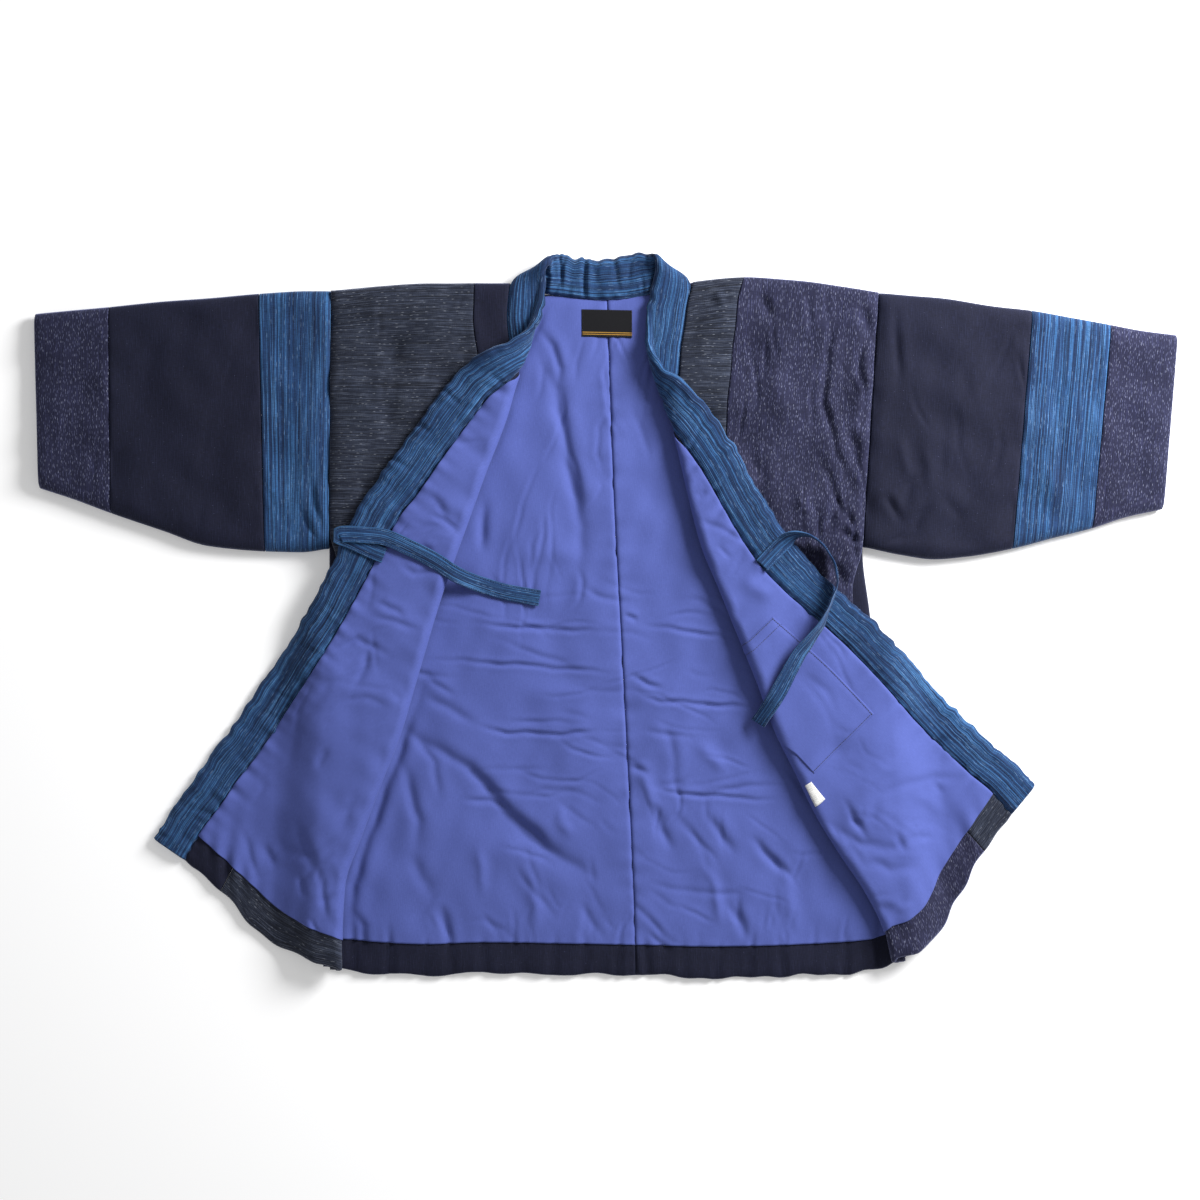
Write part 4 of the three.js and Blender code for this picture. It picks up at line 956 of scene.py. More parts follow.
@dataclass
class Back:
    """The back in two panels, and its lining."""

    sewn: Sewn
    edge: float = 4.6
    centre: float = 6.4
    side_inset: float = 14.0
    sunk: float = 0.4
    columns: int = 125
    rows: int = 330

    def surface(self, half: Half, u: Array, v: Array) -> tuple[Array, Array, Array]:
        """The back's upper face.

        Args:
            half: Which half.
            u: From the side seam, 0, to the centre, 1.
            v: From the neck, 0, to the hem, 1.

        Returns:
            x, y and the height of the face.
        """
        top_x = half.corner + (CENTRE_TOP - half.corner) * u
        hem_x = half.hem_corner + (CENTRE_HEM - half.hem_corner) * u
        top_y, hem_y = half.top(top_x), HEM(hem_x)
        y = top_y + (hem_y - top_y) * v
        y = y + Lumps(23, 36, 1.3, 6).height(top_x + 0 * v, 0 * v) * smooth(1 - (1 - v) * BACK_LENGTH / 40)
        side_x = half.edge(y)
        centre_x = CENTRE(y) + half.side.value * GAP / 2
        x = side_x + (centre_x - side_x) * u
        width, height = np.abs(centre_x - side_x), top_y - hem_y
        seams = [(u * width, self.edge), (v * height, self.edge), ((1 - v) * height, self.edge)]
        level = walls(WALL, seams) - (WALL - self.centre) * (1 - fill((1 - u) * width, 5))
        free = smooth((np.minimum(half.side.value * (self.opening(half, y) - x), height)) / 14)
        lift = relief(BACK_RELIEF, x, y)
        lift += puckers(21 + half.side.value, 26, y, (1 - u) * width, 12, 0.5)
        lift += self.tacks(x, (1 - v) * height)
        lift = np.where(lift > 0, np.minimum(lift, 1.0 + 2.0 * free), lift)
        return x, y, np.maximum(level + lift, 1.6)

    def opening(self, half: Half, y: Array) -> Array:
        """The x of the turned front's fold line, which hides the back past it."""
        rows = FRONT_ROWS[half.side]
        return Curve([row[0] for row in rows], [row[2] for row in rows])(y)

    def tacks(self, x: Array, above: Array) -> Array:
        """Soft troughs at the hem, where the facing is tacked through to the lining.

        Args:
            x: The points' x.
            above: Their height over the hem.

        Returns:
            The lift.
        """
        rng = np.random.default_rng(TACK_SEED)
        lift = np.zeros(np.shape(x))
        for k in range(-9, 10):
            middle = 12 + k * TACK_PITCH + rng.uniform(-4, 4)
            depth, reach, lean = rng.uniform(1.6, 3.4), rng.uniform(2.6, 4.6), rng.uniform(-0.12, 0.12)
            length = rng.uniform(34, 70)
            off = (x - middle - lean * above) / reach
            lift -= depth * trough(off, 0.35, 2.2, 1.3) * smooth(1 - (above - 12) / length)
        return lift

    def insets(self, u: Array, v: Array) -> tuple[Array, Array]:
        """How far the lining stays inside the side and inside the top."""
        side = 8 + self.side_inset * smooth((NECK_Y - BACK_LENGTH * v + 150) / 150)
        return side, 1.5 + 8 * (1 - smooth((u - 0.7) / 0.1))

    def lined(self, half: Half) -> tuple[Array, Array, Array]:
        """The back's face under the lining of a half, out to the lining's edges.

        Args:
            half: Which half.

        Returns:
            x, y and the height of the face.
        """
        down = places(self.rows, 0, 1)[0][:, None]
        across = places(self.columns, 0, 1)[0][None, :]
        v = down * (1 - FACING / BACK_LENGTH)
        side, _ = self.insets(across, v)
        u = (side + (BACK_WIDTH - side) * across) / BACK_WIDTH
        _, top = self.insets(u, v)
        return self.surface(half, u, v + (1 - down) * top / BACK_LENGTH)

    def panel(self, half: Half) -> tuple[Array, Array, Array]:
        """The back's face, sunk a little where the lining covers it.

        Args:
            half: Which half.

        Returns:
            x, y and the height of the face.
        """
        u = places(62, RIM, BACK_WIDTH - RIM / 3)[0][None, :] / BACK_WIDTH
        hem = (BACK_LENGTH - FACING - 4, BACK_LENGTH, 1.8)
        v = places(128, RIM, BACK_LENGTH - RIM, [hem])[0][:, None] / BACK_LENGTH
        x, y, z = self.surface(half, u, v)
        fine_u, fine_v = np.linspace(0, 1, 130), np.linspace(0, 1, 280)
        low = self.surface(half, fine_u[None, :], fine_v[:, None])[2]
        for axis in (0, 1):
            low = np.minimum.reduce([np.roll(low, k, axis) for k in (-2, -1, 0, 1, 2)])
        column = np.clip(np.searchsorted(fine_u, u[0]), 0, 129)
        row = np.clip(np.searchsorted(fine_v, v[:, 0]), 0, 279)
        side, top = self.insets(u, v)
        covered = smooth((u * BACK_WIDTH - side - 1) / 5) * smooth((v * BACK_LENGTH - top - 1) / 5)
        covered = covered * smooth(((1 - v) * BACK_LENGTH - FACING - 1) / 5)
        return x, y, z + (np.minimum(low[row][:, column] - self.sunk, z) - z) * covered

    def build(self) -> None:
        """Make both panels and both linings."""
        for side, half in HALVES.items():
            name = side.name.lower()
            x, y, z = self.panel(half)
            panel = rounded(stack(x, y, z), stack(x, y, np.zeros(x.shape)), stack(x, y))
            self.sewn.add(f"back_panel_{name}", panel, Shade.PLAIN, [f"back_{name}"])
            x, y, z = self.lined(half)
            cloth = shell(stack(x, y, z + GAP), stack(x, y, z + GAP + SKIN), stack(x, y))
            piece = self.sewn.add(f"lining_back_{name}", cloth, Shade.LINING, [f"back_lining_{name}"])


@dataclass
class FrontPanels:
    """A front's two strips and the lining of its turned part."""

    sewn: Sewn
    front: Front
    nodes: tuple[str, str]
    shades: tuple[Shade, Shade]
    creases: tuple[Crease | Lumps, ...]
    turned: tuple[Crease | Lumps, ...]
    sunk: float = 1.5
    rows: int = 205
    wide: int = 74
    narrow: int = 28
    edge: float = 5.0
    seam: float = 6.6

    def inner_lift(self, bend: Bend, s: Array, y: Array) -> Array:
        """How much wrinkles and wadding lift the lining's side of the turned part.

        Args:
            bend: The rows, from Front.bend.
            s: Places along them.
            y: The rows' own y.

        Returns:
            The lift.
        """
        x, plan_y, _, bent = self.front.middle(bend, s, WALL, WALL)
        lift = relief(self.turned, x, plan_y)
        lift += puckers(31 + self.front.side.value, 17, y, bend.seam - s, 12, 1.0)
        lift += puckers(33 + self.front.side.value, 30, y, s - bend.start - bend.length, 16, 0.7)
        lift += puckers(35 + self.front.side.value, 27, s, np.abs(y - self.front.hem - FACING), 20, 1.3)
        return lift * smooth((bent - 1.9) / 1.2)

    def outer_lift(self, bend: Bend, s: Array, y: Array) -> Array:
        """How much wrinkles and wadding lift the outer cloth where it isn't turned.

        Args:
            bend: The rows, from Front.bend.
            s: Places along them.
            y: The rows' own y.

        Returns:
            The lift.
        """
        x, plan_y, _, bent = self.front.middle(bend, s, WALL, WALL)
        lift = relief(self.creases, x, plan_y)
        lift += puckers(51 + self.front.side.value, 30, y, s, 10, 0.7)
        fade = 40 if self.front.side is Side.RIGHT else 30
        lift = np.where(bent > 0, np.minimum(lift, 0), lift) * smooth((bend.seam - s) / fade)
        return lift * smooth((0.25 - bent) / 0.25)

    def wall(self, bend: Bend, s: Array, y: Array, start: Array, end: Array) -> Array:
        """A strip's thickness, from its seams.

        Args:
            bend: The rows, from Front.bend.
            s: Places along them.
            y: The rows' own y.
            start: Where the strip starts.
            end: Where it ends.

        Returns:
            The thickness.
        """
        full = [(self.front.top - y, self.edge), (y - self.front.hem, self.edge), (s, self.edge)]
        seams = [(np.where(start > 1, s - start, 99), self.seam), (end - s, self.seam)]
        return walls(WALL, full) * walls(WALL, seams, 5) / WALL

    def strip(self, part: int) -> None:
        """Make one strip: 0 is the wide one, 1 the narrow one by the collar.

        Args:
            part: Which strip.
        """
        y = places(self.rows, self.front.top - RIM, self.front.hem + RIM)[0]
        bend, rows = self.front.bend(y), y[:, None]
        between = bend.seam - bend.strip
        apart = bend.gap(between)
        if part == 0:
            start, end, count = np.full(between.shape, GAP), between - apart / 2, self.wide
        else:
            start, end, count = between + apart / 2, bend.seam, self.narrow
        dense = [(bend.start[:, 0] - 2, (bend.start + bend.length)[:, 0] + 2, 2.4),
                 (start[:, 0], bend.start[:, 0], 1.2)]
        s = places(count, start[:, 0] + (1.0 if part == 0 else SEAM_RIM), end[:, 0] - SEAM_RIM, dense)
        wall = self.wall(bend, s, rows, start, end)
        x, plan_y, _, bent = self.front.middle(bend, s, wall, WALL)
        low = self.front.droop(x, plan_y) * smooth((0.4 - bent) / 0.4)
        covered = smooth((rows - self.front.hem - FACING - 1) / 4)
        covered = covered * smooth((bent - LINING_START - 0.3) / 0.5)
        face, back = self.front.cells(
            bend, s, wall, WALL, wall / 2 + self.outer_lift(bend, s, rows),
            wall / 2 + self.inner_lift(bend, s, rows) - self.sunk * covered, low,
        )
        flat = stack(s, rows)
        rims = (RIM, RIM, 1.0, SEAM_RIM) if part == 0 else (RIM, RIM, SEAM_RIM, SEAM_RIM)
        piece = self.sewn.add(f"cloth_{self.nodes[part]}", rounded(face, back, flat, rims=rims),
                              self.shades[part], [self.nodes[part]])

    def lining_cells(self, y: Array, s: Array, level: float, thick: float) -> tuple[Array, Array]:
        """Both faces of a thin cloth on the turned part.

        Args:
            y: The rows.
            s: Places along each.
            level: Its height over the padded wall.
            thick: Its thickness.

        Returns:
            The grids of its lower and upper face.
        """
        bend, rows = self.front.bend(y), y[:, None]
        wall = walls(WALL, [(self.front.top - rows, self.edge), (rows - self.front.hem, self.edge)])
        wall = wall * walls(WALL, [(bend.seam - s, self.seam)], 5) / WALL
        inner = wall / 2 + self.inner_lift(bend, s, rows) + level
        return self.front.cells(bend, s, wall, WALL, -inner, inner + thick)

    def lining(self) -> None:
        """Make the lining, from under the fold to the collar's seam and down to the facing."""
        side = self.front.side.name.lower()
        y = places(265, self.front.top, self.front.hem + FACING)[0]
        bend = self.front.bend(y)
        fold = (bend.start[:, 0], (bend.start + bend.length)[:, 0], 1.6)
        s = places(98, bend.start[:, 0], bend.seam[:, 0], [fold])
        face, back = self.lining_cells(y, s, GAP, SKIN)
        bent = self.front.middle(bend, s, WALL, WALL)[3]
        turned = (bent > LINING_START) & (s > bend.start)
        keep = turned[:-1, :-1] & turned[1:, :-1]
        flat = stack(s, y[:, None])
        piece = self.sewn.add(f"lining_front_{side}", shell(face, back, flat, keep), Shade.LINING,
                              [f"front_lining_{side}"])
        size = LINING_SHOWS[self.front.side]
        list(self.nodes)
        round(min(self.sewn.area[piece.name], size[0] * size[1]), 4)

    def build(self) -> None:
        """Make both strips and the lining."""
        self.strip(0)
        self.strip(1)
        self.lining()


@dataclass
class Collar:
    """The padded band from hem to hem round the neck, made in one."""

    sewn: Sewn
    right: Front
    left: Front
    columns: int = 29
    join: float = 11.0
    over_lining: float = 1.8
    raised: float = 4.2
    tucked: float = 4.5
    passes: int = 60
    place: Array = field(init=False)

    def __post_init__(self) -> None:
        """Place the columns across the band, from its seam, 0, to its free edge, 1."""
        self.place = places(self.columns, 0, 1)[0]

    def thickness(self, place: Array) -> Array:
        """The band's thickness from its seam, 0, to its free edge, 1."""
        seam, free = place * COLLAR_WIDTH, (1 - place) * COLLAR_WIDTH
        return COLLAR_WALL * (0.34 + 0.66 * fill(seam, 13)) * (0.3 + 0.7 * fill(free, 9))

    def front_part(self, front: Front, down: bool) -> Array:
        """The middle of the band along one front.

        Args:
            front: The front that it is sewn to.
            down: Whether its rows run from the neck to the hem.

        Returns:
            The grid of points.
        """
        y = places(290, front.top, front.hem + RIM)[0]
        if not down:
            y = y[::-1]
        bend = front.bend(y)
        place = self.place[None, :]
        wall = np.broadcast_to(self.thickness(place), (len(y), len(self.place)))
        width = COLLAR_WIDTH - self.tucked * smooth((20 - bend.start_y) / 70)
        s = bend.seam + bend.gap(bend.seam) + place * width
        x, py, z, bent = front.middle(bend, s, wall, COLLAR_WALL)
        z = np.where(bent > math.pi / 2, z - front.lowering(x, py) * (z - wall / 2), z)
        return stack(x, py, z)

    @staticmethod
    def pinches(along: Array, across: Array) -> Array:
        """Short folds across the band, each from one edge, where the padding is nipped.

        Args:
            along: Place along the band.
            across: Place across it.

        Returns:
            The lift.
        """
        rng = np.random.default_rng(67)
        lift = np.zeros(np.broadcast(along, across).shape)
        place = 12.0
        while place < along.max():
            depth, reach, width = rng.uniform(0.5, 1.9), rng.uniform(16, 46), rng.uniform(1.6, 3.4)
            lean, from_seam = rng.normal(0, 0.25), rng.random() < 0.5
            off = (along - place - lean * across) / width
            inside = across if from_seam else COLLAR_WIDTH - across
            lift -= depth * trough(off, 0.4, 1.9, 1.0) * smooth(1.15 - inside / reach)
            place += rng.uniform(16, 52)
        return lift

    def neck_part(self) -> Array:
        """The middle of the band behind the neck.

        Returns:
            The grid of points.
        """
        steps = np.arange(len(NECK_BAND))
        at = np.linspace(0.25, len(NECK_BAND) - 1.25, 130)
        seam_x, seam_y, seam_z, free_x, free_y, free_z = (
            Curve(steps, [row[k] for row in NECK_BAND])(at)[:, None] for k in range(6))
        over = (smooth((at - 1.6) / 1.6) * smooth((len(NECK_BAND) - 2.6 - at) / 1.6))[:, None]
        seam_y, seam_z = seam_y - self.over_lining * over, seam_z + self.raised * over
        place = self.place[None, :]
        return stack(seam_x + (free_x - seam_x) * place, seam_y + (free_y - seam_y) * place,
                     seam_z + (free_z - seam_z) * place)

    def course(self) -> Array:
        """The middle of the whole band, its three parts eased into one another at the shoulders.

        Returns:
            The grid of points.
        """
        parts = [self.front_part(self.right, False), self.neck_part(), self.front_part(self.left, True)]
        joins = np.cumsum([len(part) for part in parts])[:2]
        middle = np.concatenate(parts)
        for _ in range(self.passes):
            eased = middle.copy()
            eased[1:-1] = (middle[:-2] + 2 * middle[1:-1] + middle[2:]) / 4
            step = np.arange(len(middle))[:, None, None]
            near = sum(hill(step, join, self.join) for join in joins)
            middle = middle + (eased - middle) * np.clip(near, 0, 1)
        return middle

    def build(self) -> None:
        """Make the band."""
        middle = self.course()
        along, across = lengths(middle.mean(1))[:, None], self.place[None, :] * COLLAR_WIDTH
        wide = np.gradient(middle, axis=1)
        wide /= np.linalg.norm(wide, axis=2, keepdims=True)
        waves = (Lumps(65, 42, 1.0, 8), Lumps(66, 17, 0.5, 8))
        edge = waves[0].height(along, 0 * along) + waves[1].height(along, 0 * along)
        edge = edge + 0.7 * relief(NECK_CREASES + TIE_PINCHES, middle[:, -1:, 0], middle[:, -1:, 1])
        middle = middle + wide * (edge * self.place[None, :] ** 2)[..., None]
        normal = np.cross(wide, np.gradient(middle, axis=0))
        normal /= np.linalg.norm(normal, axis=2, keepdims=True)
        half = self.thickness(self.place)[None, :] / 2
        marks = deeper(COLLAR_CREASES, 1.5) + deeper(NECK_CREASES, 1.25) + TIE_PINCHES
        lift = relief(marks, middle[..., 0], middle[..., 1])
        lift = lift + Lumps(61, 40, 0.5).height(along, across * 0.6)
        lift += Lumps(62, 16, 0.22).height(along, across * 0.8)
        lift += puckers(63, 16, along + 0 * across, across, 9, 0.9)
        lift += puckers(64, 19, along + 0 * across, COLLAR_WIDTH - across, 8, 0.6)
        lift += self.pinches(along, across)
        inner = np.maximum(half + lift, 1.0)
        face = middle + normal * half[..., None]
        back = middle - normal * inner[..., None]
        for grid in (face, back):
            grid[..., 2] = np.maximum(grid[..., 2], 0)
        cloth = rounded(face, back, stack(across, along))
        cloth.points[:, 2] = np.maximum(cloth.points[:, 2], 0)
        piece = self.sewn.add("collar_band", cloth, Shade.BLUE_STRIPE,
                              ["collar_right", "collar_back", "collar_left"])


@dataclass
class Sleeve:
    """One sleeve, a flattened tube in three bands of cloth."""

    sewn: Sewn
    side: Side
    table: tuple[tuple[float, ...], ...]
    creases: tuple[Crease | Lumps, ...]
    bands: tuple[tuple[str, Shade, int, int], ...]
    height: float = 18.0
    slit: float = 1.4
    edge: float = 20.0
    dip: float = 1.3
    drawn_in: float = 2.0

    def __post_init__(self) -> None:
        """Fit the outline's curves."""
        steps = np.arange(len(self.table))
        self.curves = [Curve(steps, [row[k] for row in self.table]) for k in range(4)]

    def band(self, node: str, shade: Shade, start: int, end: int) -> None:
        """Make one band between two sections.

        Args:
            node: The solid that it stands for.
            shade: Its cloth.
            start: The section where it starts.
            end: The section where it ends.
        """
        span = abs(self.table[end][0] - self.table[start][0])
        first, last = start == 0, end == len(self.table) - 1
        rims = (1.0 if first else SEAM_RIM, RIM if last else SEAM_RIM, 0, 0)
        d = places(max(12, int(span / 3.0)), rims[0], span - rims[1])[0]
        index = (start + (end - start) * d / span)[:, None]
        top_x, top_y, end_x, end_y = (curve(index) for curve in self.curves)
        width = np.hypot(end_x - top_x, end_y - top_y)
        upper = places(90, 0, 1, [(0, 0.07, 3), (0.93, 1, 3)])[0]
        lower = upper[-2:0:-1][::2]
        part = np.concatenate([upper, lower])[None, :]
        above = np.concatenate([np.ones(len(upper)), np.zeros(len(lower))])[None, :]
        low_start, run_start = (10.5, 16.0) if first else (self.height - self.dip, 7.0)
        low_end, run_end = (12.0, 14.0) if last else (self.height - self.dip, 7.0)
        tall = self.height
        tall = tall - (self.height - low_start) * (1 - fill(d, run_start))[:, None]
        tall = tall - (self.height - low_end) * (1 - fill(span - d, run_end))[:, None]
        x, y = top_x + (end_x - top_x) * part, top_y + (end_y - top_y) * part
        x = x - self.side.value * (self.drawn_in * smooth(1 - d / 8)[:, None] if first else 0)
        side_in = np.clip(np.minimum(part, 1 - part) * width / self.edge, 0, 1)
        swell = (1 - (1 - side_in) ** 2.3) ** (1 / 2.3)
        middle = tall * 0.45
        lift = relief(self.creases, x, y)
        joint = np.minimum(d, span - d)[:, None]
        lift += puckers(72 + start, 24, y, joint, 9, 0.7)
        lift *= smooth(side_in) * smooth((joint + 2) / 6)
        z = np.where(above > 0, middle + (tall - middle) * swell + lift, middle - middle * swell)
        margin = WALL * 0.95 / width
        inside = margin + part * (1 - 2 * margin)
        in_x, in_y = top_x + (end_x - top_x) * inside, top_y + (end_y - top_y) * inside
        in_z = middle + np.where(above > 0, 1, -1) * self.slit / 2 * np.maximum(swell, 0.35)
        around = np.where(above > 0, part * width, 2 * width - part * width)
        flat = stack(d[:, None] + abs(self.table[start][0]), around)
        outer, inner = stack(x, y, np.maximum(z, 0)), stack(in_x, in_y, in_z)
        piece = self.sewn.add(f"cloth_{node}", rounded(outer, inner, flat, True, rims), shade, [node])

    def build(self) -> None:
        """Make the three bands."""
        for node, shade, start, end in self.bands:
            self.band(node, shade, start, end)


@dataclass
class Tie:
    """A flat doubled ribbon along its route."""

    sewn: Sewn
    side: Side
    route: tuple[tuple[float, ...], ...]
    width: float = 19.0
    wall: float = 1.8
    cloth_x: float = 60.0
    sewn_in: float = 2.2

    def frames(self, count: int) -> tuple[Array, Array, Array, Array]:
        """Middle points, width and wall directions, and the length along, at even steps.

        Args:
            count: Number of steps.

        Returns:
            Points, width directions, wall directions and lengths.
        """
        route = np.asarray(self.route, float)
        steps = np.arange(len(route))
        fine = np.linspace(0, len(route) - 1, 600)
        values = np.stack([self.soft(steps, route[:, k], fine) for k in range(4)], 1)
        run = np.gradient(values[:, :3], axis=0)
        length = lengths(values[:, :3])
        even = np.linspace(0, length[-1], count)
        point = np.stack([np.interp(even, length, values[:, k]) for k in range(3)], 1)
        tilt = np.radians(np.interp(even, length, values[:, 3]))
        run = np.stack([np.interp(even, length, run[:, k]) for k in range(3)], 1)
        flat_run = np.stack([run[:, 0], run[:, 1], np.zeros(count)], 1)
        flat_run /= np.linalg.norm(flat_run, axis=1, keepdims=True)
        level = np.stack([-flat_run[:, 1], flat_run[:, 0], np.zeros(count)], 1)
        wide = level * np.cos(tilt)[:, None]
        wide[:, 2] = np.sin(tilt)
        thick = np.cross(flat_run, wide)
        thick /= np.linalg.norm(thick, axis=1, keepdims=True)
        return point, wide, thick, even

    @staticmethod
    def soft(at: Array, value: Array, fine: Array) -> Array:
        """A rounded curve through a column of the route.

        Args:
            at: Numbers of the route's points.
            value: The column.
            fine: Where to read the curve.

        Returns:
            The values.
        """
        tangent = np.gradient(value)
        i = np.clip(fine.astype(int), 0, len(at) - 2)
        t = fine - i
        a, b = value[i], value[i + 1]
        return ((2 * t**3 - 3 * t**2 + 1) * a + (t**3 - 2 * t**2 + t) * tangent[i]
                + (3 * t**2 - 2 * t**3) * b + (t**3 - t**2) * tangent[i + 1])

    def build(self) -> None:
        """Make the ribbon."""
        name = self.side.name.lower()
        point, wide, thick, even = self.frames(240)
        across = places(15, -self.width / 2 + 0.4, self.width / 2 - 0.4)[0]
        row = across[None, :, None]
        body = self.wall / 2 * (0.62 + 0.38 * np.cos(across / self.width * math.pi) ** 0.5)
        groove = 0.28 * hill(np.abs(across), 6.6, 0.8)
        wave = Lumps(81, 26, 0.3).height(even[:, None], across[None, :])
        middle = point[:, None, :] + wide[:, None, :] * row + thick[:, None, :] * wave[..., None]
        face = middle + thick[:, None, :] * (body - groove)[None, :, None]
        back = middle - thick[:, None, :] * (body - groove)[None, :, None]
        flat = stack(across[None, :] + self.cloth_x, even[:, None])
        cloth = shell(face, back, flat)
        piece = self.sewn.add(f"ribbon_tie_{name}", cloth, Shade.BLUE_STRIPE, [f"tie_{name}"])

    def stitch_lines(self) -> list[Array]:
        """The two rows of sewing along the ribbon and one across its end.

        Returns:
            The points of each line.
        """
        point, wide, thick, _ = self.frames(240)
        top = thick * (self.wall / 2 + 0.1) * np.sign(thick[:, 2:3] + 1e-6)
        edges = (-self.width / 2 + self.sewn_in, self.width / 2 - self.sewn_in)
        lines = [point + wide * off + top for off in edges]
        k = len(point) - 5
        end = np.linspace(*edges, 8)[:, None]
        lines.append(point[k] + wide[k] * end + top[k])
        return lines


@dataclass
class Pocket:
    """The patch pocket on the left front's lining, with its turned mouth."""

    sewn: Sewn
    panels: FrontPanels
    top: float = -32.0
    bottom: float = -189.0
    width: float = 95.0
    inset: float = 30.0
    sewn_in: float = 2.2
    bend: float = 0.6
    hem: float = 15.0
    level: float = GAP + SKIN + 0.1
    cloth_x: float = 400.0
    most_area: float = 0.0149

    def limits(self, y: Array) -> tuple[Array, Array]:
        """Where the pocket starts and ends along the rows at y.

        Args:
            y: The rows.

        Returns:
            The start and the end of each row.
        """
        bend = self.panels.front.bend(y)
        end = bend.seam[:, 0] - self.inset
        return np.maximum(end - self.width, (bend.start + bend.length * self.bend)[:, 0]), end

    def build(self) -> None:
        """Make the pocket."""
        y = places(56, self.top, self.bottom)[0]
        start, end = self.limits(y)
        s = places(36, start, end)
        puff = self.puff(y, s, end)
        low, _ = self.panels.lining_cells(y, s, self.level, 0)
        _, high = self.panels.lining_cells(y, s, self.level, puff)
        flat = stack(s + self.cloth_x, y[:, None])
        piece = self.sewn.add("patch_pocket", shell(low, high, flat), Shade.LINING, ["pocket"])
        round(min(self.sewn.area["patch_pocket"], self.most_area), 4)

    def puff(self, y: Array, s: Array, end: Array) -> Array:
        """The doubled cloth's thickness, pressed thin by the sewing at its edges.

        Args:
            y: The rows.
            s: Places along them.
            end: Where the pocket ends on each.

        Returns:
            The thickness.
        """
        from_edge = np.minimum(end[:, None] - s, np.minimum(self.top - y, y - self.bottom)[:, None])
        below = self.top - y[:, None]
        puffed, sewn = hill(below, self.hem / 2, 5), hill(below - self.hem, -3, self.sewn_in)
        return 0.25 + 0.8 * smooth(from_edge / 8) + 0.25 * puffed - 0.45 * sewn

    def stitch_lines(self) -> list[Array]:
        """The sewing along the pocket's side, its foot, its mouth and its top edge.

        Returns:
            The points of each line.
        """
        y = np.linspace(self.top - 2, self.bottom + 2, 60)
        lines = [self.on_top(y, (self.limits(y)[1] - self.sewn_in)[:, None])[:, 0]]
        for row in (self.top - self.hem + 3, self.bottom + self.sewn_in, self.top - 1.6):
            start, end = self.limits(np.array([row]))
            s = np.linspace(start[0] + 1, end[0] - self.sewn_in, 30)[None, :]
            lines.append(self.on_top(np.array([row]), s)[0])
        return lines

    def on_top(self, y: Array, s: Array) -> Array:
        """Points just over the pocket's face."""
        puff = self.puff(y, s, self.limits(y)[1])
        return self.panels.lining_cells(y, s, self.level, puff + 0.12)[1]


@dataclass
class Labels:
    """The neck label with plain gold lines, and the care label beside the left front's fold."""

    sewn: Sewn
    panels: FrontPanels
    x: float = 1.0
    y: float = 331.0
    width: float = 57.0
    height: float = 31.0
    level: float = 9.6 + 0.25
    thick: float = 0.7
    sewing_level: float = 10.75
    slope: float = 0.02
    care_rows: tuple[float, float] = (-193.0, -217.0)
    care_width: float = 11.0
    most_care_area: float = 0.00026

    def build(self) -> None:
        """Make both labels."""
        across = np.linspace(-0.5, 0.5, 36)[None, :] * self.width
        down = np.linspace(0.5, -0.5, 22)[:, None] * self.height
        x, y = self.x + across + 0 * down, self.y + down - self.slope * across
        sag = 0.35 * np.cos(across / self.width * math.pi) * np.cos(down / self.height * math.pi)
        level = self.level + sag + 0 * x
        cloth = shell(stack(x, y, level), stack(x, y, level + self.thick), stack(across, down))
        piece = self.sewn.add("label_neck", cloth, Shade.BLACK_LABEL, ["neck_label"])
        rows = np.linspace(*self.care_rows, 14)
        bend = self.panels.front.bend(rows)
        start = (bend.start + bend.length / 2)[:, 0] + 5
        shown = np.linspace(0.45, 1, 14)[:, None]
        s = start[:, None] + np.linspace(0, self.care_width, 9)[None, :] * shown
        low, high = self.panels.lining_cells(rows, s, GAP + SKIN + 0.3, 0.6)
        cloth = shell(low, high, stack(s, rows[:, None]))
        piece = self.sewn.add("label_care", cloth, Shade.WHITE_LABEL, ["care_label"])
        round(min(self.sewn.area["label_care"], self.most_care_area), 6)

    def stitch_lines(self) -> list[Array]:
        """The sewing round the neck label.

        Returns:
            The points of each line.
        """
        w, h = self.width / 2 - 1, self.height / 2 - 1
        corners = [(-w, h), (w, h), (w, -h), (-w, -h), (-w, h)]
        lines = []
        for (x0, y0), (x1, y1) in zip(corners, corners[1:]):
            t = np.linspace(0, 1, 20)
            off_x, off_y = x0 + (x1 - x0) * t, y0 + (y1 - y0) * t
            lines.append(stack(self.x + off_x, self.y + off_y - self.slope * off_x, self.sewing_level))
        return lines


# Finishes

Socket, Node, Tree = bpy.types.NodeSocket, bpy.types.Node, bpy.types.NodeTree
Colour = tuple[float, float, float, float]


def paint(code: str) -> Colour:
    """A linear colour from its six hexadecimal digits."""
    parts = [int(code[k:k + 2], 16) / 255 for k in (0, 2, 4)]
    return (*(((c + 0.055) / 1.055) ** 2.4 if c > 0.04045 else c / 12.92 for c in parts), 1.0)


def put(node: Node, values: dict[str, object]) -> None:
    """Set constants directly on a node's inputs."""
    for key, value in values.items():
        node.inputs[key].default_value = value


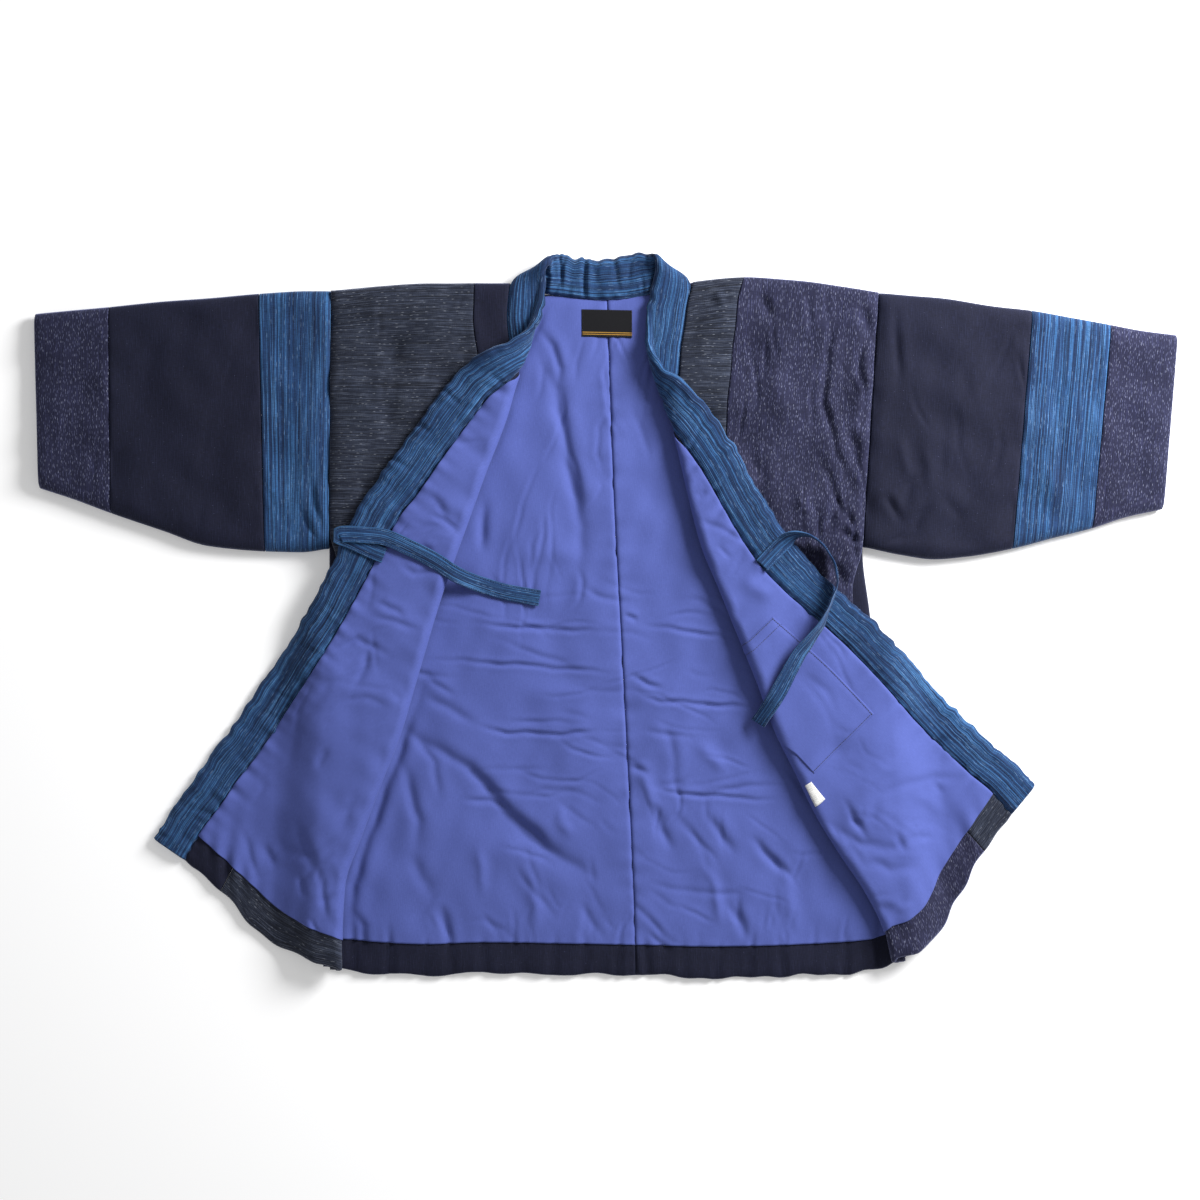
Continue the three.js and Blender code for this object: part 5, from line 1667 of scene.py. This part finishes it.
@dataclass
class Wiring:
    """A node tree being wired."""

    tree: Tree

    def add(self, kind: str, inputs: dict[int | str, object] | None = None, **settings: object) -> Node:
        """Add a node.

        Args:
            kind: The node's type.
            inputs: A value or another node's socket for each input.
            settings: The node's own settings.

        Returns:
            The node.
        """
        node = self.tree.nodes.new(kind)
        for key, value in settings.items():
            setattr(node, key, value)
        for key, value in (inputs or {}).items():
            if isinstance(value, Socket):
                self.tree.links.new(value, node.inputs[key])
            else:
                node.inputs[key].default_value = value
        return node

    def math(self, operation: str, *values: float | Socket) -> Socket:
        """The result of a sum on numbers."""
        return self.add("ShaderNodeMath", dict(enumerate(values)), operation=operation).outputs[0]

    def vector(self, operation: str, *values: object) -> Socket:
        """The result of a sum on vectors."""
        return self.add("ShaderNodeVectorMath", dict(enumerate(values)), operation=operation).outputs[0]

    def step(self, value: Socket, low: float | Socket, high: float | Socket) -> Socket:
        """A soft step from 0 at low to 1 at high."""
        inputs = {"Value": value, "From Min": low, "From Max": high}
        return self.add("ShaderNodeMapRange", inputs, interpolation_type="SMOOTHSTEP").outputs[0]

    def noise(self, vector: Socket, detail: float, flat: bool = True) -> Socket:
        """Noise of about one lump a unit."""
        inputs = {"Vector": vector, "Scale": 1.0, "Detail": detail}
        return self.add("ShaderNodeTexNoise", inputs, noise_dimensions="2D" if flat else "3D").outputs[0]

    def blend(self, share: Socket, first: Colour | Socket, second: Colour | Socket) -> Socket:
        """A mix of two colours."""
        return self.add("ShaderNodeMix", {0: share, 6: first, 7: second}, data_type="RGBA").outputs[2]


def begin(name: str) -> tuple[bpy.types.Material, Wiring, Node]:
    """A new material with its wiring and its Principled shader.

    Args:
        name: The material's name.

    Returns:
        The three of them.
    """
    material = bpy.data.materials.new(name)
    material.use_nodes = True
    return material, Wiring(material.node_tree), material.node_tree.nodes["Principled BSDF"]


@dataclass
class Shared:
    """The shader groups that the cloths share."""

    groups: dict[str, Tree] = field(default_factory=dict)

    def start(self, name: str, numbers: Sequence[str], output: str) -> tuple[Wiring, list[Socket], Socket]:
        """Begin a group that turns cloth coordinates into one number.

        Args:
            name: The group's name.
            numbers: Names of the inputs that follow the vector.
            output: Name of the number that it puts out.

        Returns:
            Its wiring, the sockets of its inputs and the socket that takes its result.
        """
        tree = bpy.data.node_groups.new(name, "ShaderNodeTree")
        tree.interface.new_socket(name="Vector", in_out="INPUT", socket_type="NodeSocketVector")
        for label in numbers:
            tree.interface.new_socket(name=label, in_out="INPUT", socket_type="NodeSocketFloat")
        tree.interface.new_socket(name=output, in_out="OUTPUT", socket_type="NodeSocketFloat")
        w = Wiring(tree)
        self.groups[name] = tree
        given = w.add("NodeGroupInput").outputs
        return w, [given[label] for label in ("Vector", *numbers)], w.add("NodeGroupOutput").inputs[0]

    def use(self, w: Wiring, name: str, inputs: dict[str, object]) -> Socket:
        """Add a group to a material's nodes and return what it puts out."""
        return w.add("ShaderNodeGroup", inputs, node_tree=self.groups[name]).outputs[0]

    @staticmethod
    def scaled(w: Wiring, vector: Socket, across: Socket, along: Socket) -> Socket:
        """Cloth coordinates counted in cells across and along."""
        cell = w.add("ShaderNodeCombineXYZ", {0: across, 1: along, 2: 1.0}).outputs[0]
        return w.vector("DIVIDE", vector, cell)

    def build(self) -> None:
        """Make the groups."""
        w, (vector, width, length, low, high), out = self.start(
            "Slub streaks", ("Width", "Length", "Low", "High"), "Mask")
        cells = self.scaled(w, vector, width, length)
        w.tree.links.new(w.step(w.noise(cells, 1.5), low, high), out)

        w, (vector, across, along, width, length, share), out = self.start(
            "Woven flecks", ("Cell across", "Cell along", "Width", "Length", "Share"), "Mask")
        cells = self.scaled(w, vector, across, along)
        spots = w.add("ShaderNodeTexVoronoi", {"Vector": cells, "Scale": 1.0}, voronoi_dimensions="2D")
        off = w.vector("SUBTRACT", cells, spots.outputs["Position"])
        cell = w.add("ShaderNodeCombineXYZ", {0: across, 1: along, 2: 0.0}).outputs[0]
        size = w.add("ShaderNodeCombineXYZ", {0: width, 1: length, 2: 1.0}).outputs[0]
        off = w.vector("DIVIDE", w.vector("MULTIPLY", off, cell), size)
        flat = w.vector("MULTIPLY", off, (1.0, 1.0, 0.0))
        reach = w.add("ShaderNodeVectorMath", {0: flat}, operation="LENGTH").outputs["Value"]
        chance = w.add("ShaderNodeSeparateColor", {0: spots.outputs["Color"]}).outputs[0]
        chosen = w.math("LESS_THAN", chance, share)
        dash = w.math("SUBTRACT", 1.0, w.step(reach, 0.7, 1.1))
        w.tree.links.new(w.math("MULTIPLY", dash, chosen), out)

        w, (vector, thread), out = self.start("Weave", ("Thread",), "Height")
        long = w.math("MULTIPLY", thread, 9.0)
        warp = w.noise(self.scaled(w, vector, thread, long), 1.0)
        weft = w.noise(self.scaled(w, vector, long, thread), 1.0)
        w.tree.links.new(w.math("ADD", warp, weft), out)


@dataclass(frozen=True)
class Streaks:
    """Slub yarns that run along the cloth in another colour."""

    colour: str
    width: float
    length: float
    low: float
    high: float
    strength: float = 1.0


@dataclass(frozen=True)
class Flecks:
    """Short dashes of another yarn."""

    colour: str
    cell: tuple[float, float]
    size: tuple[float, float]
    share: float
    strength: float = 1.0


@dataclass(frozen=True)
class ClothFinish:
    """A woven cotton cloth with a soft nap."""

    name: str
    ground: str
    streaks: tuple[Streaks, ...] = ()
    flecks: tuple[Flecks, ...] = ()
    across: bool = False
    thread: float = 0.0007
    uneven: float = 0.16
    nap: float = 0.3
    nap_tint: str = "C8D0F0"
    raise_by: float = 0.0003
    grain: float = 0.8
    lines: tuple[tuple[float, float], ...] = ()
    line_colour: str = "B08A3C"

    def build(self, shared: Shared) -> bpy.types.Material:
        """Make the material.

        Args:
            shared: The shader groups.

        Returns:
            The material.
        """
        material, w, shader = begin(self.name)
        vector = w.add("ShaderNodeUVMap", uv_map="cloth").outputs[0]
        if self.across:
            parts = w.add("ShaderNodeSeparateXYZ", {0: vector})
            vector = w.add("ShaderNodeCombineXYZ", {0: parts.outputs[1], 1: parts.outputs[0]}).outputs[0]
        colour: Colour | Socket = paint(self.ground)
        weave = shared.use(w, "Weave", {"Vector": vector, "Thread": self.thread})
        height = w.math("MULTIPLY", weave, 0.5)
        for k, streak in enumerate(self.streaks):
            moved = w.vector("ADD", vector, (0.37 * (k + 1), 0.71 * (k + 1), 0.0))
            mask = shared.use(w, "Slub streaks", {
                "Vector": moved, "Width": streak.width, "Length": streak.length, "Low": streak.low,
                "High": streak.high})
            height = w.math("ADD", height, w.math("MULTIPLY", mask, 0.5))
            colour = w.blend(w.math("MULTIPLY", mask, streak.strength), colour, paint(streak.colour))
        for k, fleck in enumerate(self.flecks):
            moved = w.vector("ADD", vector, (0.53 * (k + 1), 0.19 * (k + 1), 0.0))
            mask = shared.use(w, "Woven flecks", {
                "Vector": moved, "Cell across": fleck.cell[0], "Cell along": fleck.cell[1],
                "Width": fleck.size[0], "Length": fleck.size[1], "Share": fleck.share})
            height = w.math("ADD", height, w.math("MULTIPLY", mask, 0.7))
            colour = w.blend(w.math("MULTIPLY", mask, fleck.strength), colour, paint(fleck.colour))
        place = w.add("ShaderNodeTexCoord").outputs["Object"]
        patch = w.noise(w.vector("MULTIPLY", place, (16.0, 16.0, 16.0)), 3.0, flat=False)
        grain = w.math("MULTIPLY", w.math("SUBTRACT", weave, 1.0), self.grain)
        tone = w.math("ADD", w.math("MULTIPLY", w.math("SUBTRACT", patch, 0.5), 2 * self.uneven), grain)
        tone = w.math("ADD", 1.0, tone)
        for low, high in self.lines:
            along = w.add("ShaderNodeSeparateXYZ", {0: vector}).outputs[1]
            band = w.math("MULTIPLY", w.step(along, low - 0.0001, low + 0.0001),
                          w.math("SUBTRACT", 1.0, w.step(along, high - 0.0001, high + 0.0001)))
            colour = w.blend(band, colour, paint(self.line_colour))
        grey = w.add("ShaderNodeCombineColor", {0: tone, 1: tone, 2: tone}).outputs[0]
        shade = w.add("ShaderNodeMix", {0: 1.0, 6: colour, 7: grey}, data_type="RGBA",
                      blend_type="MULTIPLY").outputs[2]
        bump = w.add("ShaderNodeBump", {"Strength": 0.6, "Distance": self.raise_by, "Height": height})
        w.tree.links.new(shade, shader.inputs["Base Color"])
        w.tree.links.new(bump.outputs[0], shader.inputs["Normal"])
        put(shader, {"Roughness": 0.86, "Specular IOR Level": 0.22, "Sheen Weight": self.nap,
                     "Sheen Roughness": 0.45, "Sheen Tint": paint(self.nap_tint)})
        return material


@dataclass(frozen=True)
class ThreadFinish:
    """Sewing thread."""

    name: str
    colour: str

    def build(self) -> bpy.types.Material:
        """Make the material.

        Returns:
            The material.
        """
        material, w, shader = begin(self.name)
        place = w.add("ShaderNodeTexCoord").outputs["Object"]
        speck = w.noise(w.vector("MULTIPLY", place, (900.0, 900.0, 900.0)), 1.0, flat=False)
        dim = tuple(c * 0.55 for c in paint(self.colour)[:3]) + (1.0,)
        w.tree.links.new(w.blend(speck, dim, paint(self.colour)), shader.inputs["Base Color"])
        put(shader, {"Roughness": 0.6, "Sheen Weight": 0.2})
        return material


FINISHES = {
    Shade.BLUE_STRIPE: ClothFinish(
        "Blue slub stripe", "1B365D",
        (Streaks("10203F", 0.0034, 0.34, 0.5, 0.6, 0.75), Streaks("305A88", 0.0017, 0.22, 0.53, 0.64, 0.8),
         Streaks("517FB0", 0.0008, 0.1, 0.6, 0.71, 0.6), Streaks("091630", 0.0007, 0.14, 0.57, 0.66, 0.9)),
        (Flecks("7C9CC2", (0.0038, 0.012), (0.00026, 0.0032), 0.35, 0.35),), nap=0.22, nap_tint="A8C0EC"),
    Shade.CHARCOAL: ClothFinish(
        "Charcoal fine stripe", "191E2C",
        (Streaks("3A4152", 0.0009, 0.07, 0.52, 0.64, 0.7),
         Streaks("10131C", 0.0014, 0.12, 0.54, 0.65, 0.75),
         Streaks("555B6A", 0.0006, 0.022, 0.61, 0.72, 0.6)),
        (Flecks("80858F", (0.0040, 0.0080), (0.00028, 0.0017), 0.4, 0.5),), across=True, nap=0.24),
    Shade.SPECKLED: ClothFinish(
        "Speckled navy", "1C1D34",
        (Streaks("13142A", 0.0018, 0.08, 0.54, 0.66, 0.6), Streaks("2E3050", 0.001, 0.03, 0.56, 0.7, 0.5)),
        (Flecks("5E6280", (0.0024, 0.005), (0.00026, 0.0018), 0.75, 0.65),
         Flecks("85899F", (0.0052, 0.0088), (0.00027, 0.0015), 0.55, 0.6)),
        nap=0.38, nap_tint="AEB6F0"),
    Shade.PLAIN: ClothFinish(
        "Plain dark navy", "111326", (Streaks("181B30", 0.0012, 0.02, 0.5, 0.7, 0.5),),
        (Flecks("4A4E6A", (0.012, 0.014), (0.0003, 0.0005), 0.3, 0.5),), nap=0.24, nap_tint="98A4E0"),
    Shade.LINING: ClothFinish(
        "Periwinkle lining", "4A5698", (Streaks("4F5C9F", 0.0006, 0.012, 0.45, 0.7, 0.4),),
        thread=0.0005, uneven=0.05, nap=0.14, nap_tint="B8C4FF", raise_by=0.0001, grain=0.2),
    Shade.BLACK_LABEL: ClothFinish(
        "Black label", "0B0B0F", thread=0.0004, uneven=0.05, nap=0.08, raise_by=0.00015,
        lines=((-0.0107, -0.0098), (-0.0129, -0.0120)), line_colour="9A7430"),
    Shade.WHITE_LABEL: ClothFinish("White label", "D8D8D6", thread=0.0004, uneven=0.03, nap=0.05,
                                   raise_by=0.0001),
}


# Sewing


@dataclass
class Stitches:
    """Rows of stitches, repeated along their lines by geometry nodes."""

    name: str
    lines: list[Array]
    finish: bpy.types.Material
    slot: Shade
    pitch: float = 3.0
    length: float = 2.3
    width: float = 0.65
    seed: int = 5
    lean: float = 0.12
    smallest: float = 0.82
    largest: float = 1.1

    def carrier(self) -> bpy.types.Object:
        """The lines of sewing as an object of loose edges.

        Returns:
            The object.
        """
        points = [tuple(p) for line in self.lines for p in line * MM]
        edges, start = [], 0
        for line in self.lines:
            edges += [(start + k, start + k + 1) for k in range(len(line) - 1)]
            start += len(line)
        mesh = bpy.data.meshes.new(f"{self.name}_lines")
        mesh.from_pydata(points, edges, [])
        return show(f"{self.name}_lines", mesh)

    def tree(self) -> bpy.types.NodeTree:
        """The node tree that turns lines into stitches.

        Returns:
            The tree.
        """
        tree = bpy.data.node_groups.new(f"{self.name} stitches", "GeometryNodeTree")
        sockets = {"Lines": "Geometry", "Pitch": "Float", "Length": "Float", "Width": "Float",
                   "Seed": "Int", "Thread": "Material"}
        for label, kind in sockets.items():
            tree.interface.new_socket(name=label, in_out="INPUT", socket_type=f"NodeSocket{kind}")
        tree.interface.new_socket(name="Stitches", in_out="OUTPUT", socket_type="NodeSocketGeometry")
        w = Wiring(tree)
        given, out = w.add("NodeGroupInput").outputs, w.add("NodeGroupOutput")
        curve = w.add("GeometryNodeMeshToCurve", {0: given["Lines"]}).outputs[0]
        points = w.add("GeometryNodeCurveToPoints", {"Curve": curve, "Length": given["Pitch"]},
                       mode="LENGTH")
        bead = w.add("GeometryNodeMeshUVSphere", {"Segments": 7, "Rings": 5, "Radius": 0.5})
        ends = {0: (-self.lean,) * 3, 1: (self.lean,) * 3, "Seed": given["Seed"]}
        lean = w.add("FunctionNodeRandomValue", ends, data_type="FLOAT_VECTOR")
        turn = w.add("FunctionNodeEulerToRotation", {0: lean.outputs[0]}).outputs[0]
        rotation = w.add("FunctionNodeRotateRotation", {0: points.outputs["Rotation"], 1: turn},
                         rotation_space="LOCAL")
        size = w.add("ShaderNodeCombineXYZ", {0: given["Width"], 1: given["Width"], 2: given["Length"]})
        ends = {2: self.smallest, 3: self.largest, "Seed": given["Seed"]}
        vary = w.add("FunctionNodeRandomValue", ends, data_type="FLOAT")
        scale = w.add("ShaderNodeVectorMath", {0: size.outputs[0], "Scale": vary.outputs[1]},
                      operation="SCALE")
        beads = w.add("GeometryNodeInstanceOnPoints", {
            "Points": points.outputs["Points"], "Instance": bead.outputs["Mesh"],
            "Rotation": rotation.outputs[0], "Scale": scale.outputs[0]})
        real = w.add("GeometryNodeRealizeInstances", {0: beads.outputs[0]})
        done = w.add("GeometryNodeSetMaterial", {0: real.outputs[0], "Material": given["Thread"]})
        tree.links.new(done.outputs[0], out.inputs[0])
        return tree

    def build(self) -> bpy.types.Object:
        """Make the stitches as one plain mesh.

        Returns:
            The finished piece.
        """
        carrier, tree = self.carrier(), self.tree()
        modifier = carrier.modifiers.new("Stitches", "NODES")
        modifier.node_group = tree
        values = {"Pitch": self.pitch * MM, "Length": self.length * MM, "Width": self.width * MM,
                  "Seed": self.seed, "Thread": self.finish}
        for item in tree.interface.items_tree:
            if item.in_out == "INPUT" and item.name in values:
                modifier[item.identifier] = values[item.name]
        evaluated = carrier.evaluated_get(bpy.context.evaluated_depsgraph_get())
        mesh = bpy.data.meshes.new_from_object(evaluated)
        carrier.modifiers.clear()
        bpy.data.objects.remove(carrier)
        mesh.name = self.name
        mesh.shade_smooth()
        piece = show(self.name, mesh)
        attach(piece, "root")
        LOG.info("%s: %d stitches' faces", self.name, len(mesh.polygons))
        return piece


# Studio


@dataclass
class Studio:
    """A pale floor, a camera straight above and soft light from the upper right, in metres."""

    height: float = 2.6
    span: float = 1.356
    centre: tuple[float, float] = (-0.0068, 0.018)
    level: float = 0.015
    floor: float = 6.0
    film: float = 36.0
    key: tuple[float, float, float] = (1.35, 0.95, 1.0)

    def area(self, name: str, place: Sequence[float], aim: Sequence[float], size: float,
             power: float) -> None:
        """Add a soft square light.

        Args:
            name: Its name.
            place: Where it stands.
            aim: The point that it faces.
            size: Its side in metres.
            power: Its power in watts.
        """
        light = bpy.data.lights.new(name, "AREA")
        light.shape, light.size, light.energy = "SQUARE", size, power
        lamp = show(name, light)
        lamp.location = place
        away = Vector(place) - Vector(aim)
        lamp.rotation_euler = away.to_track_quat("Z", "Y").to_euler()

    def build(self) -> None:
        """Make the floor, the lights, the world and the camera."""
        scene = bpy.context.scene
        mesh = bpy.data.meshes.new("floor")
        turns = ((-1, -1), (1, -1), (1, 1), (-1, 1))
        corners = [(x * self.floor, y * self.floor, -0.0005) for x, y in turns]
        mesh.from_pydata(corners, [], [(0, 1, 2, 3)])
        material, _, shader = begin("Pale floor")
        put(shader, {"Base Color": (0.87, 0.87, 0.875, 1), "Roughness": 0.95, "Specular IOR Level": 0.1,
                     "Emission Color": (1, 1, 1, 1), "Emission Strength": 0.2})
        mesh.materials.append(material)
        show("floor", mesh)
        self.area("key", self.key, (-0.05, -0.02, 0.0), 0.8, 76)
        world = bpy.data.worlds.new("Pale room")
        scene.world = world
        world.use_nodes = True
        put(world.node_tree.nodes["Background"], {"Color": (1, 1, 1, 1), "Strength": 0.43})
        camera = bpy.data.cameras.new("camera")
        camera.sensor_width = self.film
        camera.lens = self.film * (self.height - self.level) / self.span
        camera.clip_end = 50
        view = show("camera", camera)
        view.location = (*self.centre, self.height)
        scene.camera = view
        scene.view_settings.view_transform = "Standard"


def main() -> None:
    """Build the coat, sew it and set up the studio."""
    logging.basicConfig(level=logging.INFO, format="%(name)s: %(message)s")
    shared = Shared()
    shared.build()
    sewn = Sewn({shade: finish.build(shared) for shade, finish in FINISHES.items()})
    Back(sewn).build()
    right = FrontPanels(sewn, Front(Side.RIGHT, RIGHT_ROWS), ("front_right_charcoal", "front_right_black"),
                        (Shade.CHARCOAL, Shade.PLAIN), FRONT_RIGHT_RELIEF, TURNED_RIGHT)
    left = FrontPanels(sewn, Front(Side.LEFT, LEFT_ROWS), ("front_left_speckled", "front_left_grey"),
                       (Shade.SPECKLED, Shade.CHARCOAL), FRONT_LEFT_RELIEF, TURNED_LEFT)
    right.build()
    left.build()
    Collar(sewn, right.front, left.front).build()
    Sleeve(sewn, Side.RIGHT, RIGHT_SLEEVE, RIGHT_SLEEVE_RELIEF,
           (("sleeve_right_stripe", Shade.BLUE_STRIPE, 0, 2), ("sleeve_right_plain", Shade.PLAIN, 2, 5),
            ("sleeve_right_speckled", Shade.SPECKLED, 5, 7))).build()
    Sleeve(sewn, Side.LEFT, LEFT_SLEEVE, LEFT_SLEEVE_RELIEF,
           (("sleeve_left_plain", Shade.PLAIN, 0, 4), ("sleeve_left_stripe", Shade.BLUE_STRIPE, 4, 6),
            ("sleeve_left_speckled", Shade.SPECKLED, 6, 8))).build()
    ties = [Tie(sewn, Side.RIGHT, RIGHT_TIE), Tie(sewn, Side.LEFT, LEFT_TIE)]
    for tie in ties:
        tie.build()
    pocket, labels = Pocket(sewn, left), Labels(sewn, left)
    pocket.build()
    labels.build()
    navy, blue, black = (ThreadFinish(name, code).build() for name, code in (
        ("Navy thread", "181B3C"), ("Blue thread", "3A5F8C"), ("Black thread", "15151C")))
    tie_lines = [line for tie in ties for line in tie.stitch_lines()]
    Stitches("stitches_pocket", pocket.stitch_lines(), navy, Shade.LINING, 2.5, 2.3, 0.85).build()
    Stitches("stitches_label", labels.stitch_lines(), black, Shade.BLACK_LABEL, 2.2, 1.7, 0.45).build()
    Stitches("stitches_ties", tie_lines, blue, Shade.BLUE_STRIPE, 3.0, 2.2, 0.5).build()
    Studio().build()


if __name__ == "__main__":
    main()
